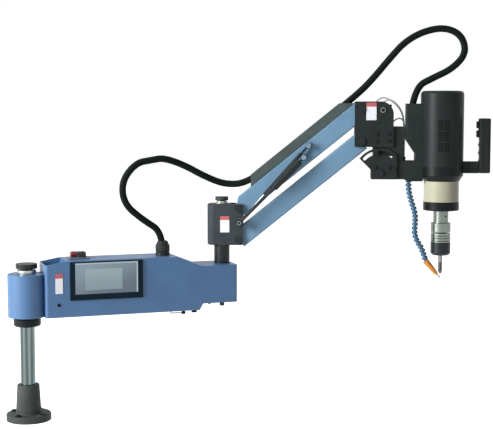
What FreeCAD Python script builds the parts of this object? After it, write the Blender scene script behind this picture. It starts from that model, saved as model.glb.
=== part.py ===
"""Swing-arm tapping machine, built as separate pieces from one sheet of driving sizes.

A column on a bolted flange carries a swivelling control arm.  The control arm carries an elbow,
the elbow a parallelogram arm held up by two gas springs, and the arm a head that stays level.
The motor, gearbox, chuck, coolant line and grip tilt on the head.  Millimetres and degrees.

World frame: origin at the centre of the flange's underside, +Z up, control arm along +X.
"""
import FreeCAD, Part

import math
import os

import Sketcher

Vector = FreeCAD.Vector

# ----------------------------------------------------------------------------- driving sizes
SIZES = {
    # fits
    "seat_gap": 0.3,
    "running_gap": 0.05,
    "stud_gap": 0.2,
    "stud_relief": 2,
    "edge_break": 1,
    "cut_margin": 1,
    # base, column and collar
    "flange_diameter": 115,
    "flange_thickness": 17,
    "socket_foot_diameter": 66,
    "socket_top_diameter": 57,
    "socket_height": 93,
    "socket_floor": 6,
    "cast_fillet": 3,
    "bolt_hole": 11,
    "bolt_counterbore": 18,
    "bolt_counterbore_depth": 7,
    "bolt_circle": 92,
    "bolt_start_angle": 46,
    "bolt_count": 4,
    "column_diameter": 38,
    "column_top": 392,
    "collar_diameter": 70,
    "collar_height": 22,
    "collar_chamfer": 3,
    "collar_slit": 3,
    "hub_bottom": 270,
    "hub_height": 111,
    "hub_inset": 1,
    "hub_edge": 2,
    "bush_wall": 3,
    "bush_flange": 1.7,
    "bush_length": 30,
    "bush_flange_width": 4,
    "thrust_ring_diameter": 48,
    "thrust_ring_height": 9,
    "stud_diameter": 12,
    "stud_depth": 30,
    "knob_diameter": 55,
    "knob_height": 12,
    "knob_neck_diameter": 30,
    "knob_neck_height": 2.7,
    "knob_flutes": 12,
    "knob_flute_share": 0.12,
    "knob_flute_place": 0.54,
    # control box
    "box_left": 40,
    "box_well_end": 97,
    "box_right": 554.5,
    "box_bottom": 270,
    "box_top": 415,
    "box_width": 100,
    "box_wall": 3,
    "box_left_top": 405,
    "box_slope_start": 388,
    "box_slope_end": 456,
    "box_shelf_drop": 27,
    "box_step_start": 449,
    "box_step_end": 459,
    "box_step_bottom": 287,
    "box_corner": 5,
    "box_left_corner": 7,
    "box_edge": 3,
    "well_floor": 312,
    "cover_screw_inset": 25,
    "cover_screw_head": 8,
    "cover_screw_length": 8,
    "foot_diameter": 16,
    "foot_height": 7,
    "foot_inset": 14,
    "foot_taper": 1,
    # screen
    "screen_left": 103,
    "screen_right": 294,
    "screen_bottom": 313,
    "screen_top": 412,
    "screen_border_side": 13,
    "screen_border_low": 15,
    "screen_border_high": 3,
    "screen_depth": 4,
    "screen_corner": 2,
    "screen_bevel": 0.6,
    "glass_depth": 1.5,
    "glass_recess": 0.8,
    # stop switch
    "switch_x": 133.5,
    "switch_plate_length": 57,
    "switch_plate_width": 40,
    "switch_plate_height": 4,
    "switch_body_length": 19,
    "switch_body_width": 26,
    "switch_body_height": 14,
    "switch_cap_diameter": 15,
    "switch_cap_length": 17,
    "switch_stem_diameter": 8,
    "switch_travel": 3,
    "switch_back_wall": 3,
    "switch_corner": 3,
    "switch_edge": 1.5,
    "switch_cap_round": 4,
    # gland
    "gland_x": 361,
    "gland_base_diameter": 38,
    "gland_base_height": 9,
    "gland_nut_width": 32,
    "gland_nut_height": 21,
    "conduit_diameter": 18.5,
    # elbow shaft and block
    "elbow_x": 526.5,
    "elbow_angle": -22,
    "shaft_diameter": 42,
    "journal_diameter": 30,
    "block_bottom": 439,
    "block_height": 110,
    "block_back": 38,
    "block_front": 57,
    "block_width": 60,
    "block_corner": 20,
    "block_chamfer": 2,
    "clevis_gap": 42,
    "clevis_start": 24,
    "elbow_ring_diameter": 29,
    "elbow_ring_height": 4.5,
    "elbow_knob_diameter": 35,
    "elbow_knob_height": 10,
    "elbow_stud_diameter": 10,
    "elbow_knob_neck": 20,
    "shaft_bolt_head": 13,
    "shaft_bolt_height": 16,
    "shaft_bolt_shank": 8,
    "shaft_bolt_length": 24,
    # links
    "link_angle": 39,
    "link_length": 420.4,
    "link_height": 49,
    "link_width": 40,
    "link_eye": 28,
    "link_edge": 4,
    "link_notch": 18,
    "upper_pivot_x": 46.5,
    "upper_pivot_z": 538,
    "pivot_spacing": 85,
    "pin_diameter": 12,
    "pin_head_diameter": 20,
    "pin_head_height": 4,
    "pin_bush_wall": 3,
    # cable tray
    "tray_start": 62,
    "tray_end_inset": 35.7,
    "tray_height": 24.5,
    "tray_wall": 2,
    # gas springs
    "spring_stud_x": 50,
    "spring_stud_z": 501,
    "spring_stud_diameter": 8,
    "spring_stud_head": 13,
    "stud_head_height": 3,
    "spring_eye": 15,
    "spring_eye_width": 8,
    "lower_eye_slack": 3,
    "rear_spring_reach": 251,
    "rear_spring_rise": 13.3,
    "rear_spring_diameter": 10,
    "rear_spring_rod": 6,
    "rear_spring_neck": 30,
    "rear_spring_body": 146,
    "front_spring_reach": 222.4,
    "front_spring_rise": -2.8,
    "front_spring_diameter": 20,
    "front_spring_rod": 9.5,
    "front_spring_neck": 15,
    "front_spring_body": 98,
    "spring_side_gap": 1,
    "spring_cap": 12,
    "spring_insertion": 55,
    "spring_neck_width": 6,
    "spring_end_round": 2,
    "spring_rod_gap": 0.2,
    "spring_bracket_thickness": 6,
    "spring_boss_diameter": 18,
    "spring_bar_width": 10,
    # head
    "head_plate_thickness": 10,
    "head_back": 18,
    "head_front": 84,
    "head_above": 20,
    "head_below": 100,
    "head_corner": 34,
    "head_small_corner": 3,
    "spacer_start": 32,
    "spacer_end": 79,
    "spacer_above": 12,
    "spacer_below": 92,
    "head_screw_head": 11,
    "head_screw_height": 4,
    "head_screw_shank": 6,
    "head_screw_length": 20,
    "head_screw_left": 36,
    "head_screw_right": 68,
    "head_screw_low": 83.5,
    "head_screw_pitch": 18.5,
    "head_screw_lone_x": 55.7,
    "head_screw_lone_drop": 2.6,
    "hanger_width": 50,
    "hanger_length": 26,
    "hanger_top": 46,
    "tilt_pivot_x": 48.7,
    "tilt_pivot_drop": 169.5,
    "hanger_bar_height": 24,
    "hanger_bar_start": 31,
    "hanger_bar_gap": 0.5,
    "tongue_width": 24,
    "tongue_side": 15,
    "lock_bolt_diameter": 8,
    "lock_bolt_head": 14,
    # tilting head
    "fan_radius": 66,
    "fan_thickness": 6,
    "slot_radius": 55.5,
    "slot_width": 9,
    "slot_left": 46,
    "slot_right": 37,
    "lock_bolt_angle": 12,
    "fan_tip_x": 53,
    "fan_tip_z": 38.4,
    "fan_right": 45,
    "bracket_left": 22.5,
    "bracket_width": 50,
    "bracket_up": 33,
    "bracket_down": 16,
    "bracket_step_start": 63,
    "bracket_step_end": 73,
    "bracket_step_down": 21.5,
    "bracket_slot_end": 40,
    "fan_screw_left": 15.85,
    "fan_screw_middle": 21.7,
    "fan_screw_right": 36,
    "fan_screw_drop": 8,
    "fan_screw_wall": 2,
    "cover_left": 68.5,
    "cover_top": 184,
    "cover_bend_z": 89,
    "cover_waist_x": 93,
    "cover_waist_z": 52,
    "cover_width": 44,
    "cover_corner": 4,
    "motor_x": 165,
    "motor_diameter": 114,
    "motor_bottom": 18,
    "motor_top": 217.5,
    "motor_round": 10,
    "vent_width": 32,
    "vent_rib": 2.6,
    "vent_height": 2.2,
    "vent_pitch": 4.4,
    "vent_group_pitch": 29,
    "vents_in_group": 6,
    "vent_groups": 3,
    "vent_depth": 3,
    "vent_top": 140,
    "flange_band": 24,
    "gearbox_diameter": 93,
    "gearbox_top": -21,
    "gearbox_height": 55.5,
    "gearbox_edge": 2,
    "ring_height": 22.7,
    "ring_diameter": 95,
    "ring_chamfer": 1.5,
    # handle
    "handle_bottom": 0,
    "handle_bar_height": 31,
    "handle_width": 28,
    "grip_x": 96,
    "grip_length": 31.5,
    "grip_height": 145,
    "grip_edge": 8,
    "grip_end_edge": 4,
    "bar_inset": 2,
    "finger_depth": 3,
    "finger_pitch": 22,
    "fingers": 3,
    "button_height": 18,
    "button_width": 15,
    "button_pitch": 24,
    "button_top_drop": 8,
    "button_proud": 5.3,
    "button_travel": 3,
    "button_recess": 10,
    "button_edge": 1.5,
    # spindle
    "spindle_diameter": 40,
    "spindle_length": 33,
    "spindle_journal": 24,
    "spindle_journal_length": 60,
    "chuck_diameter": 52.5,
    "chuck_collar_height": 25,
    "chuck_core_diameter": 30,
    "sleeve_height": 24,
    "sleeve_travel": 3,
    "adapter_height": 34.5,
    "adapter_chamfer": 5,
    "groove_depth": 2,
    "groove_height": 2,
    "groove_pitch": 6.7,
    "groove_start": 3.2,
    "groove_count": 3,
    "tap_diameter": 12,
    "tap_shank_diameter": 11,
    "tap_length": 50,
    "tap_thread_length": 30,
    "tap_seat_depth": 22,
    "tap_flute": 4,
    "tap_flutes": 4,
    "tap_lead": 8,
    "tap_point_diameter": 7,
    "tap_neck": 2,
    # coolant hose
    "hose_pitch": 10.7,
    "hose_ball_diameter": 10,
    "hose_socket_diameter": 16,
    "hose_waist_diameter": 8,
    "hose_bore": 4.5,
    "hose_lip": 2.5,
    "hose_lip_bevel": 1,
    "hose_mouth_bevel": 0.5,
    "hose_x": 77,
    "hose_side": -12,
    "hose_fitting_height": 3,
    "hose_fitting_reach": 8.5,
    "nozzle_length": 44,
    "nozzle_tip_length": 14,
    "nozzle_tip_diameter": 5,
    "nozzle_bore": 1.8,
    "nozzle_end_diameter": 10,
    "nozzle_angle": 40,
    # thin tubes
    "air_tube_diameter": 4,
}

HOSE_HEADINGS = (4, 8, 12, 16, 18, 18, 16, 11, 2, -3, -5, 0, 8, 17, 29, 33, 25, 20, 19, 19)

doc = FreeCAD.newDocument("arm_tapping_machine")
sheet = doc.addObject("Spreadsheet::Sheet", "size")
for row, (alias, number) in enumerate(SIZES.items(), start=1):
    sheet.set(f"A{row}", str(number))
    sheet.setAlias(f"A{row}", alias)
doc.recompute()


# ----------------------------------------------------------------------------- sizes and frames
class Size:
    """A number together with the sheet formula that it follows."""

    def __init__(self, value, formula=None):
        self.value = float(value)
        self.formula = formula if formula else f"({value:.10g})"

    def __add__(self, other):
        other = as_size(other)
        return Size(self.value + other.value, f"({self.formula} + {other.formula})")

    def __sub__(self, other):
        other = as_size(other)
        return Size(self.value - other.value, f"({self.formula} - {other.formula})")

    def __mul__(self, other):
        other = as_size(other)
        return Size(self.value * other.value, f"({self.formula} * {other.formula})")

    def __truediv__(self, other):
        other = as_size(other)
        return Size(self.value / other.value, f"({self.formula} / {other.formula})")

    def __radd__(self, other):
        return as_size(other) + self

    def __rsub__(self, other):
        return as_size(other) - self

    def __rmul__(self, other):
        return as_size(other) * self

    def __neg__(self):
        return Size(-self.value, f"(0 - {self.formula})")


def as_size(number):
    return number if isinstance(number, Size) else Size(number)


def cosine(angle):
    angle = as_size(angle)
    return Size(math.cos(math.radians(angle.value)), f"cos({angle.formula})")


def sine(angle):
    angle = as_size(angle)
    return Size(math.sin(math.radians(angle.value)), f"sin({angle.formula})")


def root(number):
    return Size(math.sqrt(number.value), f"sqrt({number.formula})")


def slope_angle(rise, run):
    ratio = rise / run
    return Size(math.degrees(math.atan(ratio.value)), f"(atan({ratio.formula}) / 1 deg)")


class Sheet:
    """Gives each driving size of the sheet as an attribute."""

    def __getattr__(self, alias):
        return Size(SIZES[alias], f"size.{alias}")


s = Sheet()
AXES = {"x": Vector(1, 0, 0), "y": Vector(0, 1, 0), "z": Vector(0, 0, 1)}


class Frame:
    """A local coordinate system: a placement and the formula that it follows."""

    def __init__(self, placement=None, formula=None):
        self.placement = placement if placement else FreeCAD.Placement()
        self.formula = formula

    def moved(self, x=0, y=0, z=0, axis="z", angle=0):
        """The frame moved along its own axes, then turned about one of them."""
        x, y, z, angle = (as_size(value) for value in (x, y, z, angle))
        turn = AXES[axis]
        step = FreeCAD.Placement(Vector(x.value, y.value, z.value), FreeCAD.Rotation(turn, angle.value))
        place = f"vector({x.formula}; {y.formula}; {z.formula})"
        spin = f"rotation(vector({turn.x:g}; {turn.y:g}; {turn.z:g}); {angle.formula})"
        formula = f"placement({place}; {spin})"
        if self.formula:
            formula = f"{self.formula} * {formula}"
        return Frame(self.placement.multiply(step), formula)


def bind(thing, prop, size):
    thing.setExpression(prop, as_size(size).formula)


# ----------------------------------------------------------------------------- outlines
class Polygon:
    """A closed outline of straight lines through points of the sheet's sizes."""

    def __init__(self, *points):
        self.points = [(as_size(x), as_size(y)) for x, y in points]

    def draw(self, sketch):
        corners = [Vector(x.value, y.value, 0) for x, y in self.points]
        first = sketch.GeometryCount
        for start, end in zip(corners, corners[1:] + corners[:1]):
            sketch.addGeometry(Part.LineSegment(start, end))
        count = len(corners)
        for i in range(count):
            following = first + (i + 1) % count
            sketch.addConstraint(Sketcher.Constraint("Coincident", first + i, 2, following, 1))
        for i, (x, y) in enumerate(self.points):
            for kind, size in (("DistanceX", x), ("DistanceY", y)):
                index = sketch.addConstraint(Sketcher.Constraint(kind, first + i, 1, size.value))
                bind(sketch, f"Constraints[{index}]", size)


def rectangle(left, right, low, high):
    return Polygon((left, low), (right, low), (right, high), (left, high))


class Circle:
    """A circle placed and sized from the sheet."""

    def __init__(self, diameter, x=0, y=0):
        self.diameter = as_size(diameter)
        self.x = as_size(x)
        self.y = as_size(y)

    def draw(self, sketch):
        centre = Vector(self.x.value, self.y.value, 0)
        item = sketch.addGeometry(Part.Circle(centre, Vector(0, 0, 1), self.diameter.value / 2))
        sizes = (("DistanceX", self.x), ("DistanceY", self.y))
        for kind, size in sizes:
            index = sketch.addConstraint(Sketcher.Constraint(kind, item, 3, size.value))
            bind(sketch, f"Constraints[{index}]", size)
        index = sketch.addConstraint(Sketcher.Constraint("Diameter", item, self.diameter.value))
        bind(sketch, f"Constraints[{index}]", self.diameter)


def hexagon(width):
    """A regular hexagon by its width across the flats."""
    corner = width / (2 * cosine(30))
    return Polygon(*[(corner * cosine(60 * i), corner * sine(60 * i)) for i in range(6)])


# ----------------------------------------------------------------------------- pieces
class Piece:
    """One physical piece: a PartDesign body with its own label and placement."""

    def __init__(self, label, frame):
        self.body = doc.addObject("PartDesign::Body", label)
        self.body.Label = label
        if frame.formula:
            self.body.setExpression("Placement", frame.formula)

    def sketch(self, plane, offset, outlines):
        sketch = self.body.newObject("Sketcher::SketchObject", f"{self.body.Label}_outline")
        role = f"{plane}_Plane"
        support = [item for item in self.body.Origin.OriginFeatures if item.Role == role][0]
        sketch.AttachmentSupport = [(support, "")]
        sketch.MapMode = "FlatFace"
        bind(sketch, "AttachmentOffset.Base.z", offset)
        for outline in outlines:
            outline.draw(sketch)
        return sketch

    def pad(self, plane, low, high, *outlines):
        """Material between two levels along the plane's axis; the XZ plane faces -Y."""
        low, high = as_size(low), as_size(high)
        start = -high if plane == "XZ" else low
        pad = self.body.newObject("PartDesign::Pad", f"{self.body.Label}_pad")
        pad.Profile = self.sketch(plane, start, outlines)
        bind(pad, "Length", high - low)
        return pad

    def pocket(self, plane, low, high, *outlines):
        """Material taken away between two levels along the plane's axis."""
        low, high = as_size(low), as_size(high)
        start = -low if plane == "XZ" else high
        pocket = self.body.newObject("PartDesign::Pocket", f"{self.body.Label}_pocket")
        pocket.Profile = self.sketch(plane, start, outlines)
        bind(pocket, "Length", high - low)
        return pocket

    def turn(self, *outlines, plane="XZ", axis="V_Axis"):
        """A revolved solid; the outline's x is the radius and its y the height."""
        turned = self.body.newObject("PartDesign::Revolution", f"{self.body.Label}_turned")
        sketch = self.sketch(plane, 0, outlines)
        turned.Profile = sketch
        turned.ReferenceAxis = (sketch, [axis])
        turned.Angle = 360
        return turned

    def groove(self, *outlines, plane="XZ", axis="V_Axis"):
        groove = self.body.newObject("PartDesign::Groove", f"{self.body.Label}_groove")
        sketch = self.sketch(plane, 0, outlines)
        groove.Profile = sketch
        groove.ReferenceAxis = (sketch, [axis])
        groove.Angle = 360
        return groove

    def around(self, features, count):
        """Repeats features evenly about the piece's own Z axis."""
        pattern = self.body.newObject("PartDesign::PolarPattern", f"{self.body.Label}_ring")
        pattern.Originals = features
        pattern.Axis = (features[0].Profile[0], ["N_Axis"])
        pattern.Angle = 360
        bind(pattern, "Occurrences", count)
        self.body.Tip = pattern
        return pattern

    def along(self, feature, axis, length, count):
        """Repeats a feature along an axis of its own sketch."""
        pattern = self.body.newObject("PartDesign::LinearPattern", f"{self.body.Label}_row")
        pattern.Originals = [feature]
        pattern.Direction = (feature.Profile[0], [axis])
        bind(pattern, "Length", length)
        bind(pattern, "Occurrences", count)
        self.body.Tip = pattern
        return pattern

    def edge_names(self, points):
        doc.recompute()
        edges = self.body.Tip.Shape.Edges
        names = []
        for point in points:
            place = Part.Vertex(Vector(*[as_size(value).value for value in point]))
            gaps = [edge.distToShape(place)[0] for edge in edges]
            names.append(f"Edge{gaps.index(min(gaps)) + 1}")
        return names

    def fillet(self, radius, *points):
        """Rounds the edges that pass the given points of the body's own frame."""
        base = self.body.Tip
        names = self.edge_names(points)
        fillet = self.body.newObject("PartDesign::Fillet", f"{self.body.Label}_fillet")
        fillet.Base = (base, names)
        bind(fillet, "Radius", radius)
        return fillet

    def chamfer(self, size, *points):
        """Bevels the edges that pass the given points of the body's own frame."""
        base = self.body.Tip
        names = self.edge_names(points)
        chamfer = self.body.newObject("PartDesign::Chamfer", f"{self.body.Label}_chamfer")
        chamfer.Base = (base, names)
        bind(chamfer, "Size", size)
        return chamfer


NODES = []


def keep(piece):
    """Marks a piece or a group as a node of its own."""
    NODES.append(piece.body if isinstance(piece, Piece) else piece)
    return piece


def group(label, pieces):
    """Separate solids of one kind that share a node."""
    compound = doc.addObject("Part::Compound", label)
    compound.Label = label
    compound.Links = [piece.body if isinstance(piece, Piece) else piece for piece in pieces]
    return keep(compound)


def turned_piece(label, frame, *points):
    piece = Piece(label, frame)
    piece.turn(Polygon(*points))
    return piece


def flanged_bush(label, frame, bore, wall, length, up=True):
    """A plain bush with a thrust flange; its flange end is at the frame's origin."""
    sign = -1 if up else 1
    inner = bore / 2 + s.running_gap
    outer = bore / 2 + wall
    rim = outer + s.bush_flange_width - s.bush_wall
    return turned_piece(
        label, frame,
        (inner, s.bush_flange * -sign), (rim, s.bush_flange * -sign), (rim, 0),
        (outer, 0), (outer, length * sign), (inner, length * sign))


def cap_screw(label, frame, head, height, shank, length):
    """A socket head screw along +Z of its frame, its head standing on the XY plane."""
    piece = turned_piece(
        label, frame,
        (0, -length), (shank / 2, -length), (shank / 2, 0), (head / 2, 0), (head / 2, height), (0, height))
    piece.pocket("XY", height * 0.45, height, hexagon(head * 0.5))
    return piece


# ----------------------------------------------------------------------------- frames
WORLD = Frame()
ARM = WORLD.moved(x=s.elbow_x, angle=s.elbow_angle)
BOX_SHELF = s.box_top - s.box_shelf_drop
HUB_DIAMETER = s.box_width - s.hub_inset * 2
LOWER_PIVOT_Z = s.upper_pivot_z - s.pivot_spacing
UPPER_LINK = ARM.moved(x=s.upper_pivot_x, z=s.upper_pivot_z, axis="y", angle=-s.link_angle)
LOWER_LINK = ARM.moved(x=s.upper_pivot_x, z=LOWER_PIVOT_Z, axis="y", angle=-s.link_angle)
HEAD_X = s.upper_pivot_x + s.link_length * cosine(s.link_angle)
HEAD_Z = s.upper_pivot_z + s.link_length * sine(s.link_angle)
HEAD = ARM.moved(x=HEAD_X, z=HEAD_Z)
TILT = HEAD.moved(x=s.tilt_pivot_x, z=-s.tilt_pivot_drop)
MOTOR = TILT.moved(x=s.motor_x)


# ----------------------------------------------------------------------------- base and column
def base_flange():
    piece = Piece("base_flange", WORLD)
    rim = s.flange_diameter / 2
    bore = s.column_diameter / 2 + s.running_gap
    piece.turn(Polygon(
        (0, 0), (rim, 0), (rim, s.flange_thickness),
        (s.socket_foot_diameter / 2, s.flange_thickness), (s.socket_top_diameter / 2, s.socket_height),
        (bore, s.socket_height), (bore, s.socket_floor), (0, s.socket_floor)))
    piece.fillet(s.cast_fillet, (rim, 0, s.flange_thickness), (s.socket_top_diameter / 2, 0, s.socket_height))
    piece.fillet(s.cast_fillet, (s.socket_foot_diameter / 2, 0, s.flange_thickness))
    hole_x = s.bolt_circle / 2 * cosine(s.bolt_start_angle)
    hole_y = s.bolt_circle / 2 * sine(s.bolt_start_angle)
    hole = piece.pocket("XY", 0, s.flange_thickness, Circle(s.bolt_hole, hole_x, hole_y))
    seat_floor = s.flange_thickness - s.bolt_counterbore_depth
    seat = piece.pocket("XY", seat_floor, s.flange_thickness + s.cast_fillet * 2,
                        Circle(s.bolt_counterbore, hole_x, hole_y))
    piece.around([hole, seat], s.bolt_count)
    return keep(piece)


def column():
    radius = s.column_diameter / 2
    stud = s.stud_diameter / 2 + s.stud_gap
    depth = s.column_top - s.stud_depth - s.stud_relief
    piece = turned_piece(
        "column", WORLD,
        (0, s.socket_floor), (radius, s.socket_floor), (radius, s.column_top),
        (stud, s.column_top), (stud, depth), (0, depth))
    piece.chamfer(s.edge_break, (radius, 0, s.column_top))
    return keep(piece)


def column_collar():
    piece = Piece("column_collar", WORLD)
    top = s.hub_bottom - s.bush_flange - s.seat_gap
    bottom = top - s.collar_height
    radius = s.collar_diameter / 2
    bore = s.column_diameter / 2 + s.running_gap
    piece.turn(rectangle(bore, radius, bottom, top))
    piece.chamfer(s.collar_chamfer, (radius, 0, bottom), (radius, 0, top))
    piece.pocket("XY", bottom, top, rectangle(-s.collar_slit / 2, s.collar_slit / 2, 0, radius + s.cut_margin))
    return keep(piece)


def column_thrust_ring():
    bottom = s.hub_bottom + s.hub_height + s.bush_flange + s.seat_gap
    radius = s.thrust_ring_diameter / 2
    bore = s.column_diameter / 2 + s.running_gap * 2
    piece = Piece("column_thrust_ring", WORLD)
    piece.turn(rectangle(bore, radius, bottom, bottom + s.thrust_ring_height))
    piece.chamfer(s.edge_break, (radius, 0, bottom + s.thrust_ring_height), (radius, 0, bottom))
    return keep(piece)


def clamp_knob(label, frame, diameter, height, neck, neck_height, stud, stud_length):
    """A fluted clamping knob; the frame's origin is the underside of its neck."""
    piece = turned_piece(
        label, frame,
        (0, -stud_length), (stud / 2, -stud_length), (stud / 2, 0), (neck / 2, 0), (neck / 2, neck_height),
        (diameter / 2, neck_height), (diameter / 2, neck_height + height), (0, neck_height + height))
    flute = piece.pocket("XY", neck_height - s.cut_margin, neck_height + height + s.cut_margin,
                         Circle(diameter * s.knob_flute_share, diameter * s.knob_flute_place, 0))
    piece.around([flute], s.knob_flutes)
    return keep(piece)


def column_knob():
    frame = WORLD.moved(z=s.column_top + s.seat_gap * 2)
    return clamp_knob("column_knob", frame, s.knob_diameter, s.knob_height, s.knob_neck_diameter,
                      s.knob_neck_height, s.stud_diameter, s.stud_depth)


# ----------------------------------------------------------------------------- control arm
def swivel_hub():
    piece = Piece("swivel_hub", WORLD)
    low = s.hub_bottom
    high = s.hub_bottom + s.hub_height
    radius = HUB_DIAMETER / 2
    seat = s.column_diameter / 2 + s.bush_wall + s.running_gap
    relief = s.column_diameter / 2 + s.bush_wall / 2
    piece.turn(Polygon(
        (seat, low), (radius, low), (radius, high), (seat, high), (seat, high - s.bush_length),
        (relief, high - s.bush_length), (relief, low + s.bush_length), (seat, low + s.bush_length)))
    piece.fillet(s.hub_edge, (radius, 0, low), (radius, 0, high))
    return keep(piece)


def hub_bushes():
    top = WORLD.moved(z=s.hub_bottom + s.hub_height)
    bottom = WORLD.moved(z=s.hub_bottom)
    length = s.bush_length - s.seat_gap
    pieces = [
        flanged_bush("hub_bush_top", top, s.column_diameter, s.bush_wall, length),
        flanged_bush("hub_bush_bottom", bottom, s.column_diameter, s.bush_wall, length, up=False)]
    return group("hub_bushes", pieces)


def control_box():
    """Folded housing: a closed box with a shelf for the elbow shaft and an open well at the hub."""
    piece = Piece("control_box", WORLD)
    half = s.box_width / 2
    wall = s.box_wall
    inner = half - wall
    piece.pad("XZ", -half, half, Polygon(
        (s.box_left, s.box_bottom), (s.box_step_start, s.box_bottom), (s.box_step_end, s.box_step_bottom),
        (s.box_right, s.box_step_bottom), (s.box_right, BOX_SHELF), (s.box_slope_end, BOX_SHELF),
        (s.box_slope_start, s.box_top), (s.box_well_end, s.box_top), (s.box_left, s.box_left_top)))
    middle = (s.box_bottom + s.box_left_top) / 2
    shelf_middle = (s.box_step_bottom + BOX_SHELF) / 2
    piece.fillet(s.box_left_corner, (s.box_left, -half, middle), (s.box_left, half, middle))
    piece.fillet(s.box_corner, (s.box_right, -half, shelf_middle), (s.box_right, half, shelf_middle))
    long_middle = (s.box_well_end + s.box_slope_start) / 2
    piece.fillet(s.box_edge, (long_middle, -half, s.box_top), (long_middle, half, s.box_top))
    over = s.cut_margin
    open_bottom = s.box_bottom - over
    piece.pocket("XZ", -inner, inner, Polygon(
        (s.box_well_end + wall, open_bottom), (s.box_step_start - wall, open_bottom),
        (s.box_step_start - wall, s.box_bottom + wall), (s.box_step_end - over, s.box_step_bottom + wall),
        (s.box_right - wall, s.box_step_bottom + wall), (s.box_right - wall, BOX_SHELF - wall),
        (s.box_slope_end - over, BOX_SHELF - wall), (s.box_slope_start - over, s.box_top - wall),
        (s.box_well_end + wall, s.box_top - wall)))
    piece.pocket("XZ", -inner, inner, rectangle(
        s.box_left + wall, s.box_well_end - wall, s.well_floor, s.box_top + over))
    seat = HUB_DIAMETER + s.running_gap * 2
    piece.pocket("XY", s.box_bottom - over, s.hub_bottom + s.hub_height, Circle(seat))
    piece.pocket("XY", BOX_SHELF - wall - over, BOX_SHELF + over,
                 Circle(s.shaft_diameter + s.running_gap * 2, s.elbow_x))
    piece.pocket("XY", s.box_step_bottom - over, s.box_step_bottom + wall + over,
                 Circle(s.shaft_bolt_shank + s.stud_gap * 2, s.elbow_x))
    piece.pocket("XY", s.box_top - wall - over, s.box_top + over, Circle(s.conduit_diameter, s.gland_x))
    piece.pocket("XZ", -half - over, -inner + over, rectangle(
        s.screen_left + s.screen_border_side, s.screen_right - s.screen_border_side,
        s.screen_bottom + s.screen_border_low, s.screen_top - s.screen_border_high))
    return keep(piece)


def box_base_cover():
    piece = Piece("box_base_cover", WORLD)
    gap = s.box_wall + s.seat_gap
    half = s.box_width / 2 - gap
    piece.pad("XY", s.box_bottom, s.box_bottom + s.box_wall,
              rectangle(s.box_well_end + gap, s.box_step_start - gap, -half, half),
              *[Circle(s.cover_screw_head / 2 + s.stud_gap, x, y) for x, y in cover_screw_places()])
    return keep(piece)


def cover_screw_places():
    left = s.box_well_end + s.box_wall + s.cover_screw_inset
    right = s.box_step_start - s.box_wall - s.cover_screw_inset
    side = s.box_width / 2 - s.box_wall - s.cover_screw_inset
    middle = (left + right) / 2
    return [(x, y) for x in (left, middle, right) for y in (-side, side)]


def control_box_screws():
    pieces = []
    for number, (x, y) in enumerate(cover_screw_places(), start=1):
        frame = WORLD.moved(x=x, y=y, z=s.box_bottom, axis="x", angle=180)
        pieces.append(cap_screw(f"cover_screw_{number}", frame, s.cover_screw_head, s.cover_screw_head / 4,
                                s.cover_screw_head / 2, s.cover_screw_length))
    frame = WORLD.moved(x=s.elbow_x, z=s.box_step_bottom, axis="x", angle=180)
    pieces.append(cap_screw("shaft_bolt", frame, s.shaft_bolt_head, s.shaft_bolt_height,
                            s.shaft_bolt_shank, s.shaft_bolt_length))
    return group("control_box_screws", pieces)


def rubber_feet():
    side = s.box_width / 2 - s.foot_inset
    right = s.box_step_start - s.box_wall - s.seat_gap * 2
    pieces = []
    for number, y in enumerate((-side, side), start=1):
        frame = WORLD.moved(x=right - s.foot_diameter / 2, y=y, z=s.box_bottom)
        radius = s.foot_diameter / 2
        pieces.append(turned_piece(
            f"rubber_foot_{number}", frame,
            (0, -s.foot_height), (radius - s.foot_taper, -s.foot_height), (radius, 0), (0, 0)))
    return group("rubber_feet", pieces)


def screen_bezel():
    piece = Piece("screen_bezel", WORLD)
    front = -s.box_width / 2
    piece.pad("XZ", front - s.screen_depth, front,
              rectangle(s.screen_left, s.screen_right, s.screen_bottom, s.screen_top))
    piece.pocket("XZ", front - s.screen_depth, front, rectangle(
        s.screen_left + s.screen_border_side, s.screen_right - s.screen_border_side,
        s.screen_bottom + s.screen_border_low, s.screen_top - s.screen_border_high))
    middle = (s.screen_bottom + s.screen_top) / 2
    face = front - s.screen_depth
    side = front - s.screen_depth / 2
    piece.fillet(s.screen_corner, *[(x, side, z) for x in (s.screen_left, s.screen_right)
                                    for z in (s.screen_bottom, s.screen_top)])
    piece.chamfer(s.screen_bevel, (s.screen_left, face, middle))
    return keep(piece)


def screen_glass():
    piece = Piece("screen_glass", WORLD)
    front = -s.box_width / 2 - s.screen_depth + s.glass_recess
    gap = s.seat_gap
    piece.pad("XZ", front, front + s.glass_depth, rectangle(
        s.screen_left + s.screen_border_side + gap, s.screen_right - s.screen_border_side - gap,
        s.screen_bottom + s.screen_border_low + gap, s.screen_top - s.screen_border_high - gap))
    return keep(piece)


def stop_switch_body():
    """Base plate with the contact block that the red cap is pressed into."""
    piece = Piece("stop_switch_body", WORLD.moved(x=s.switch_x, z=s.box_top))
    half = s.switch_plate_length / 2
    side = s.switch_plate_width / 2
    height = s.switch_plate_height
    piece.pad("XY", 0, height, rectangle(-half, half, -side, side))
    top = height + s.switch_body_height
    piece.pad("XY", height, top, rectangle(0, s.switch_body_length, -s.switch_body_width / 2,
                                           s.switch_body_width / 2))
    piece.pocket("YZ", -s.cut_margin, s.switch_body_length - s.switch_back_wall,
                 Circle(s.switch_stem_diameter + s.running_gap * 4, 0, switch_axis_height()))
    piece.fillet(s.switch_corner, *[(x, y, height / 2) for x in (-half, half) for y in (-side, side)])
    piece.fillet(s.switch_edge, (s.switch_body_length, 0, top),
                 (s.switch_body_length / 2, -s.switch_body_width / 2, top),
                 (s.switch_body_length / 2, s.switch_body_width / 2, top))
    return keep(piece)


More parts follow.
